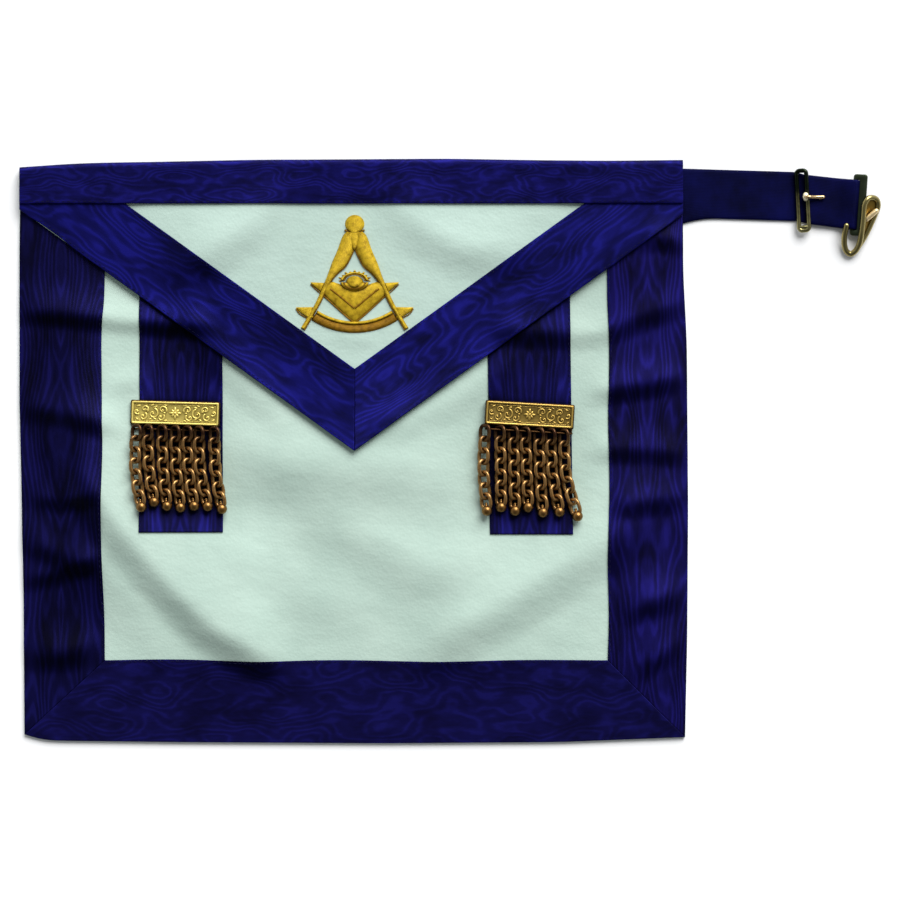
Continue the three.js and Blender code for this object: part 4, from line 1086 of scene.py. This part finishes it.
# A chain's rings: how deep the last one holds the neck, how much longer the chain is than its line, the
# play between two rings, and how far the last one is drawn back
NECK_HELD = 0.6
CHAIN_SPARE = 0.7
RING_PLAY = 0.35
LAST_BACK = 0.65


def make_chain(row, label, chain):
    line = chain_route(row, chain)
    total = lengths_along(line)[-1]
    pitch = (total - (NECK + BALL / 2 - RING_WIRE - ROD / 2 - NECK_HELD) + CHAIN_SPARE) / RINGS
    ring_length = pitch - RING_PLAY + 2 * RING_WIRE
    first = ring_length / 2 - RING_WIRE - CLEAR - ROD / 2
    rings = Heap()
    for n in range(RINGS):
        place, turn = on_chain(row, line, first + n * pitch - (LAST_BACK if n == RINGS - 1 else 0))
        vertices, faces = chain_ring(ring_length, 1 if n % 2 else -1)
        # The finish's own measure: the distance along the chain from the rod, which it paints darker near
        # the rod as the plate's shadow
        uv = np.full((len(vertices), 2), first + n * pitch) - vertices[:, [1, 1]]
        rings.add(turned(vertices, turn, place), faces, uv)
    rings.piece("links_" + label, metals["gilt_chain"], "gilt", ["chain_" + label])
    place, turn = on_chain(row, line, total)
    vertices, faces = ball_shape()
    ball = Heap().add(turned(vertices, turn, place), faces)
    ball.piece("drop_" + label, metals["gilt_ball"], "gilt", ["ball_" + label])


def make_tassels():
    for side, row in TASSELS.items():
        plate, rod = Heap(), Heap()
        plate_shell(plate, rod)
        plate_ornament(plate)
        plate_rod(rod)
        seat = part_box("tassel_plate_" + side)[0].z / MM
        for heap in (plate, rod):
            heap.vertices = [turned(part, row["tilt"], (*row["plate"], seat)) for part in heap.vertices]
        # The two plates are one gilt: painted light on the left plate, painted shade on the right
        finish = metals["gilt_lit_copy" if side == "left" else "gilt_shaded_copy"]
        plate.piece("plate_" + side, finish, "gilt", ["tassel_plate_" + side])
        # The rod and the plate's turned edge, in gilt painted dark as shade
        rod.piece("rod_" + side, metals["gilt_painted_shade"], "gilt")
        for k, chain in enumerate(row["chains"], 1):
            make_chain(row, f"{side}_{k}", chain)


make_tassels()

# The embroidery in hundredths of its height, about its centre
EMBLEM_HEIGHT = 71.4
EMBLEM_UP = 107.7
STITCH = EMBLEM_HEIGHT / 100
THREAD = 0.45
LEG_OUTER = [
    (-6.5, 36.5), (-9.8, 33.0), (-14.6, 20.5), (-19.4, 9.5), (-23.0, -0.5), (-26.8, -10.0), (-34.4, -26.6),
    (-46.0, -46.2),
]
LEG_INNER = [
    (0.0, 34.0), (0.0, 22.0), (-3.6, 13.8), (-7.8, 6.4), (-14.6, 0.4), (-20.2, -6.6), (-30.2, -26.0),
    (-42.9, -47.8),
]
SQUARE_LOW = [(-28.6, -15.6), (-20.6, -23.4), (-10.8, -32.4), (-1.6, -40.4)]
SQUARE_HIGH = [(-22.0, -5.5), (-13.0, -8.5), (-5.5, -11.5), (-0.6, -13.0)]
SQUARE_END_HIGH = [(-37.6, -7.0), (-31.0, -7.3), (-25.0, -7.6)]
SQUARE_END_LOW = [(-37.2, -8.4), (-33.0, -12.4), (-28.4, -16.2)]
ARC_END_OUT = [(-50.2, -28.4), (-47.2, -32.6), (-39.5, -37.4)]
ARC_END_IN = [(-34.6, -28.2), (-34.4, -33.0), (-35.0, -38.0)]
ARC_SPAN = 33.0
ARC_CENTRE = 17.6
ARC_BAND = {"outer": 61.0, "inner": 58.0, "high": 1.9}
ARC_SHADE = {"outer": 68.0, "inner": 60.6, "high": 1.3}

# Cords on one half: their radius, their lift and their line
# The brown cords lie mostly along lower and inner edges: partly cord, partly painted shade
GROOVE = (0.6, 1.4, [(-20.6, -12.8), (-13.0, -18.8), (-6.0, -24.6), (-0.4, -29.2)])
EDGE_CORDS = [
    (0.48, 0.6, LEG_INNER[1:]),
    (0.5, 0.35, [(-27.6, -17.4), (-20.2, -24.2), (-10.4, -33.2), (-1.0, -41.2)]),
    (0.34, 0.3, [(-37.6, -8.8), (-33.4, -13.0), (-29.2, -16.6)]),
    (0.38, 0.3, [(-50.0, -29.6), (-47.0, -33.8), (-39.0, -38.4)]),
]
KNOB = {"up": 42.4, "across": 8.3, "tall": 7.9, "high": 2.6}
SUN = {"up": -6.6, "across": 11.0, "tall": 7.4, "high": 2.9}
SUN_RAYS = 11


def emblem_place(points):
    return np.asarray(points, float) * STITCH + (TIP[0], EMBLEM_UP)


def satin(heap, left, right, high, slant=0.0, rows=9, sharp=False, base=0.0):
    """A padded band of satin stitches between its two edges, with each thread as a small ridge."""
    left, right = (straight(*left), straight(*right)) if sharp else (rounded_line(left), rounded_line(right))
    left, right = emblem_place(left), emblem_place(right)
    length = (lengths_along(left)[-1] + lengths_along(right)[-1]) / 2
    count = max(6, int(length / THREAD) * 4)
    u = np.linspace(0, 1, count)
    a, b = along(left, u), along(right, u)
    v = np.linspace(-1, 1, rows)
    plan = a[:, None] * (1 - v[None, :, None]) / 2 + b[:, None] * (1 + v[None, :, None]) / 2
    run = np.broadcast_to((u * length)[:, None], plan.shape[:2]) + slant * v[None] * 1.5
    width = np.linalg.norm(b - a, axis=1)
    ends = np.minimum(1, np.minimum(u, 1 - u)[:, None] * length / 0.9 + 0.1)
    swell = np.sqrt(np.clip(1 - v**2, 0, 1))[None] * ends * np.minimum(high, 0.55 * width + 0.15)[:, None]
    ridge = 0.13 * np.abs(np.sin(math.pi * run / THREAD)) * np.minimum(1, swell * 2)
    x, y = plan[..., 0], plan[..., 1]
    z = ground(x, y) + FLAP + LEATHER + base + swell + ridge
    uv = np.stack([run, np.broadcast_to(v[None] * width.mean() / 2, run.shape)], axis=-1).reshape(-1, 2)
    heap.add(np.stack([x, y, z], axis=-1).reshape(-1, 3), grid_faces(count, rows), uv)


def couched(heap, radius, lift, points):
    """A twisted cord that is sewn down along a line."""
    line = emblem_place(rounded_line(points))
    total = lengths_along(line)[-1]
    line = along(line, np.linspace(0, 1, max(8, int(total / 0.3))))
    run = np.linspace(0, total, len(line))
    z = ground(line[:, 0], line[:, 1]) + FLAP + LEATHER + lift
    thick = radius * (1 + 0.12 * np.sin(run * 2 * math.pi / 0.9))
    vertices, faces = tube(np.column_stack([line, z]), thick, 8, capped=False)
    around = np.tile(np.arange(8) * radius * 0.8, len(line))
    heap.add(vertices, faces, np.column_stack([np.repeat(run, 8), around]))


def mirror(points):
    return [(-x, y) for x, y in points]


def ellipse(row, from_deg, to_deg, steps=13, scale=1.0):
    angles = np.radians(np.linspace(from_deg, to_deg, steps))
    across, tall = row["across"] * scale, row["tall"] * scale
    return [(across * math.cos(a), row["up"] + tall * math.sin(a)) for a in angles]


def arc_edge(radius):
    angles = np.radians(np.linspace(-90 - ARC_SPAN, -90 + ARC_SPAN, 15))
    return [(radius * math.cos(a), ARC_CENTRE + radius * math.sin(a)) for a in angles]


def make_emblem():
    # The brown heap holds cords and a band that also paint the shade under the knob, under the sun's boss,
    # under the gold arc band and along the legs' inner edges
    gold, brown_and_shade = Heap(), Heap()
    square = [half + mirror(half)[::-1] for half in (SQUARE_LOW, SQUARE_HIGH)]
    satin(gold, *square, 1.5, 0.6, 13, sharp=True)
    for flip in (list, mirror):
        couched(brown_and_shade, *GROOVE[:2], flip(GROOVE[2]))
    for flip in (list, mirror):
        satin(gold, flip(SQUARE_END_HIGH), flip(SQUARE_END_LOW), 1.3)
        satin(gold, flip(ARC_END_OUT), flip(ARC_END_IN), 1.5)
    for heap, band in ((gold, ARC_BAND), (brown_and_shade, ARC_SHADE)):
        satin(heap, arc_edge(band["outer"]), arc_edge(band["inner"]), band["high"], 0.3)
    for flip in (list, mirror):
        satin(gold, flip(LEG_OUTER), flip(LEG_INNER), 2.3, 0.4, 11, base=0.25)
        for radius, lift, line in EDGE_CORDS:
            couched(brown_and_shade, radius, lift, flip(line))
    knob = ellipse(KNOB, 90, 270)
    satin(gold, knob, mirror(knob), KNOB["high"])
    couched(brown_and_shade, 0.55, 0.75, [(-8.4, 37.6), (-4.4, 35.2), (0, 34.6), (4.4, 35.2), (8.4, 37.6)])
    neck = [(-5.2, 36.0), (-4.4, 29.0), (-1.0, 20.6)]
    satin(gold, neck, mirror(neck), 1.6, base=1.0)
    sill = [(x, SUN["up"] - 0.4) for x in np.linspace(-12.1, 12.1, 13)]
    satin(gold, ellipse(SUN, 180, 360, 13, 1.1), sill, 1.9, base=0.5)
    boss = ellipse(SUN, 90, 270, 13, 0.66)
    satin(gold, boss, mirror(boss), SUN["high"], base=0.9)
    couched(brown_and_shade, 0.5, 2.2, ellipse(SUN, 188, 352, 13, 0.84))
    couched(brown_and_shade, 0.34, 1.6, ellipse(SUN, 4, 176, 13, 0.8))
    satin(gold, ellipse(SUN, 176, 4, 21, 1.12), ellipse(SUN, 176, 4, 21, 0.86), 1.6, base=0.2)
    for k in range(SUN_RAYS):
        middle = -4 + 188 * (k + 0.5) / SUN_RAYS
        near = ellipse(SUN, middle - 6.5, middle + 6.5, 2, 1.08)
        far = ellipse(SUN, middle - 2.5, middle + 2.5, 2, 1.34 if k % 2 else 1.24)
        satin(gold, [near[0], far[0]], [near[1], far[1]], 1.2, rows=5, sharp=True)
    gold.piece("emblem_satin", gold_thread, "gold_thread", ["emblem"])
    brown_and_shade.piece("emblem_cords_and_shade", dark_cord_and_shade, "gold_thread")


make_emblem()

# The belt's end
BELT_START = 200.35
BELT_UP = 157.2
BELT_WIDTH = 30.0
BELT_THICK = 1.3
BELT_TUCK = 45.0
FLARE = 3.8
FLARE_LENGTH = 22.0
LEFT_BAR = 270.35
RIGHT_BAR = 276.85
THIN_BAR = 304.6
FOLD_RADIUS = 2.364
RING_HEIGHT = 3.014
UPPER_RUN = 2.25
SLIDER_TURN = 3.0
RING_TURN = -4.0


def belt_centre(x):
    first = -0.03 * (np.minimum(x, LEFT_BAR) - BELT_START)
    drop = -1.8 * np.clip((x - LEFT_BAR) / (RIGHT_BAR - LEFT_BAR), 0, 1)
    second = -0.122 * (np.maximum(x, RIGHT_BAR) - RIGHT_BAR)
    return BELT_UP + first + drop + second


def make_belt():
    floor = BELT_THICK / 2
    slack = 2 * FOLD_RADIUS
    stops = (BELT_START - BELT_TUCK, BELT_START, BELT_START + 12, 240, LEFT_BAR, RIGHT_BAR, 285)
    stops += (THIN_BAR - slack,)
    line = [(x, floor) for x in stops]
    for angle in np.radians(np.linspace(-90, 90, 9)):
        line.append((THIN_BAR + FOLD_RADIUS * math.cos(angle), RING_HEIGHT + FOLD_RADIUS * math.sin(angle)))
    line += [(THIN_BAR - 2 * slack, UPPER_RUN), (285, UPPER_RUN), (RIGHT_BAR - 0.5, UPPER_RUN)]
    path = rounded_line(line, 12)
    path[:, 1] = np.maximum(path[:, 1], floor)
    total = lengths_along(path)[-1]
    path = along(path, stations(total, 0.8, (0.0, 0.15, 0.4)))
    run = lengths_along(path)
    tangent = np.gradient(path, axis=0)
    tangent /= np.linalg.norm(tangent, axis=1)[:, None]
    normal = np.stack([-tangent[:, 1], tangent[:, 0]], axis=1)
    v = stations(BELT_WIDTH, 1.5, (0.0, 0.12, 0.35))
    edge = np.minimum(v, 1 - v)[None] * BELT_WIDTH
    drop = edge_drop(edge, 0.45 * BELT_THICK)
    layers = []
    for sign in (-1, 1):
        reach = sign * (BELT_THICK / 2 - drop)
        x = path[:, None, 0] + normal[:, None, 0] * reach
        z = path[:, None, 1] + normal[:, None, 1] * reach
        from_middle = (0.5 - v)[None] * BELT_WIDTH + 0 * x
        past_slider = step(x, RIGHT_BAR + 2, THIN_BAR - slack)
        turn = SLIDER_TURN * step(x, LEFT_BAR - 8.5, LEFT_BAR - 2) * (1 - past_slider)
        turn += RING_TURN * past_slider
        widening = np.clip(1 - (x - BELT_START) / FLARE_LENGTH, 0, 1) ** 2
        flare = FLARE * widening * np.clip(-from_middle / (BELT_WIDTH / 2), 0, 1)
        y = belt_centre(x) + from_middle - flare
        x = x - from_middle * np.tan(np.radians(turn))
        layers.append(np.stack([x, y, z], axis=-1).reshape(-1, 3))
    across = ((0.5 - v) * BELT_WIDTH)[None]
    uv = np.stack(np.broadcast_arrays(run[:, None], across), axis=-1).reshape(-1, 2)
    vertices, faces = np.vstack(layers), shell_faces(len(path), len(v))
    made = piece("belt_webbing", vertices, faces, webbing, np.vstack([uv, uv]), ["belt_strap"])


make_belt()


# The metal on the belt. The slider is a closed wire over the webbing
SLIDER = {
    "across": 2.9, "tall": 18.2, "corner": 1.9, "wire": 2.7,
    "middle": (273.5, 152.4), "high": 3.9, "slope": 0.2,
}
LOW_BAR = {"up": 2.0, "wire": 2.4, "inset": 0.5}
TONGUE = {
    "wire": (0.75, 1.3), "bend": 2.35, "bar": (276.6, 4.5), "flat": 4.3, "reach": (6.25, 9.3), "up": 154.4,
}
# A knob on the slider's bar, whose pale colour is a painted highlight where the tongue wraps the bar
KNOB_ON_BAR = {"place": (275.3, 154.6, 5.0), "across": 2.0, "tall": 2.9, "high": 1.7}

# The hook's wire in shares of its height, with how far each point has risen from the surface
HOOK_LOW = (307.8, 149.9)
HOOK_SIZE = 38.4
HOOK_TOP = 7.21
HOOK_WIRE = 3.5
HOOK_WEB = 0.9
HOOK_STEM = [
    (-0.213, -0.34, 1), (-0.232, -0.45, 0.8), (-0.237, -0.56, 0.45), (-0.224, -0.66, 0.2),
    (-0.187, -0.742, 0.05),
    (-0.13, -0.778, 0), (-0.072, -0.75, 0.1), (-0.022, -0.68, 0.4), (0.008, -0.58, 0.8), (0.024, -0.46, 1),
    (0.043, -0.31, 1), (0.058, -0.15, 1), (0.07, -0.02, 1), (0.115, 0.07, 0.95), (0.2, 0.105, 0.7),
]
HOOK_RETURN = [
    (0.2, 0.105, 0.7), (0.285, 0.065, 0.35), (0.303, -0.03, 0.15), (0.262, -0.15, 0.05), (0.2, -0.29, 0.05),
    (0.135, -0.43, 0.05), (0.067, -0.55, 0.1), (0.0, -0.65, 0.3),
]
HOOK_TONGUE = [(0.262, -0.105, 0.6), (0.22, -0.142, 0.62), (0.17, -0.185, 0.6), (0.11, -0.235, 0.55)]


def hook_place(points, lift=0.0):
    points = np.asarray(points, float)
    low = HOOK_WIRE / 2 + 0.15
    z = low + points[:, 2] * (HOOK_TOP - low) + lift
    return np.column_stack([points[:, :2] * HOOK_SIZE + HOOK_LOW, z])


def make_slider():
    slope = SLIDER["slope"]
    outline = rounded_rectangle(2 * SLIDER["across"], 2 * SLIDER["tall"], SLIDER["corner"])
    wire = np.column_stack([outline, outline[:, 0] * slope])
    reach, low = SLIDER["across"] - LOW_BAR["inset"], LOW_BAR["up"] - SLIDER["tall"]
    bar = straight((-reach, low, -reach * slope), (0, low, 0), (reach, low, reach * slope))
    place = (*SLIDER["middle"], SLIDER["high"])
    heap = Heap()
    shapes = (tube(wire, SLIDER["wire"] / 2, 16, closed=True), tube(bar, LOW_BAR["wire"] / 2, 14))
    for vertices, faces in shapes:
        # The finish's own measure: how far below the slider's top each place lies, painted darker towards
        # the top
        heap.add(turned(vertices, SLIDER_TURN, place), faces, SLIDER["tall"] - vertices[:, [1, 1]])
    heap.piece("slider_wire", metals["antique_slider"], "belt_metal", ["belt_slider"])


def make_tongue():
    x, z = TONGUE["bar"]
    line = [(x + TONGUE["bend"] * math.cos(a), TONGUE["up"], z + TONGUE["bend"] * math.sin(a))
            for a in np.radians([160, 130, 100, 70, 40])]
    line += [(x + reach, TONGUE["up"], TONGUE["flat"]) for reach in TONGUE["reach"]]
    line = rounded_line(line, 6)
    shape = tube(line, np.linspace(*TONGUE["wire"], len(line)), 14)
    Heap().add(*shape).piece("tongue_wire", metals["antique_rose"], "belt_metal", ["slider_tongue"])
    profile = [(0.03, -1), (0.5, -0.87), (0.87, -0.5), (1, 0), (0.87, 0.5), (0.5, 0.87), (0.03, 1)]
    knob, faces = lathe(profile, 20)
    knob = knob * (KNOB_ON_BAR["across"], KNOB_ON_BAR["tall"], KNOB_ON_BAR["high"]) + KNOB_ON_BAR["place"]
    Heap().add(knob, faces).piece("tongue_knob", metals["brass_painted_highlight"], "belt_metal")


def make_hook():
    line = hook_place(rounded_line(HOOK_STEM + HOOK_RETURN[1:], 8))
    shape = tube(line, HOOK_WIRE / 2, 18)
    Heap().add(*shape).piece("hook_wire", metals["antique_brass"], "belt_metal", ["snake_hook"])
    shares = np.linspace(0, 1, 30)
    left = along(hook_place(rounded_line(HOOK_STEM[:-8:-1], 8)), shares)
    right = along(hook_place(rounded_line(HOOK_RETURN[:-1], 8)), shares)
    v = np.linspace(0, 1, 9)[None, :, None]
    web = (left[:, None] * (1 - v) + right[:, None] * v).reshape(-1, 3)
    under = web - (0, 0, HOOK_WEB)
    faces = shell_faces(30, 9).tolist()
    Heap().add(np.vstack([web, under]), faces).piece("hook_web", metals["gilt_web"], "belt_metal")
    tongue = tube(hook_place(rounded_line(HOOK_TONGUE, 8), 1.0), 1.6, 16)
    Heap().add(*tongue).piece("hook_tongue", metals["gilt_cream"], "belt_metal")


# The flat ring in the belt's fold, about its thin bar: its broad bar lies towards the hook
END_RING = {
    "length": 37.4, "width": 8.4, "corner": 1.6, "thick": 2.0, "out": 3.2, "tilt": -12.0,
    "hole": (30.4, 1.8), "hole_at": -1.3,
}


def make_end_ring():
    half = END_RING["thick"] / 2
    rows = []
    for inset, z in ((0.35, -half), (0.0, 0.35 - half), (0.0, half - 0.35), (0.1, half - 0.1), (0.35, half)):
        size = (END_RING["width"] - 2 * inset, END_RING["length"] - 2 * inset)
        rows.append(at_height(rounded_rectangle(*size, END_RING["corner"]), z))
    for grow, z in ((0.3, half), (0.08, half - 0.1), (0.0, half - 0.3), (0.0, 0.3 - half), (0.3, -half)):
        outline = rounded_rectangle(END_RING["hole"][1] + 2 * grow, END_RING["hole"][0] + 2 * grow, 0.7)
        rows.append(at_height(outline + (END_RING["hole_at"], 0), z))
    vertices = leaning(np.vstack(rows) + (END_RING["out"], 0, 0), END_RING["tilt"])
    ring = Heap().add(turned(vertices, RING_TURN, (THIN_BAR, HOOK_LOW[1], RING_HEIGHT)),
                      closed_faces(len(rows), len(rows[0])))
    # The ring's gilt is painted near black, as shade
    ring.piece("ring_flat", metals["olive_gilt_in_shade"], "belt_metal", ["end_ring"])


make_slider()
make_tongue()
make_hook()
make_end_ring()
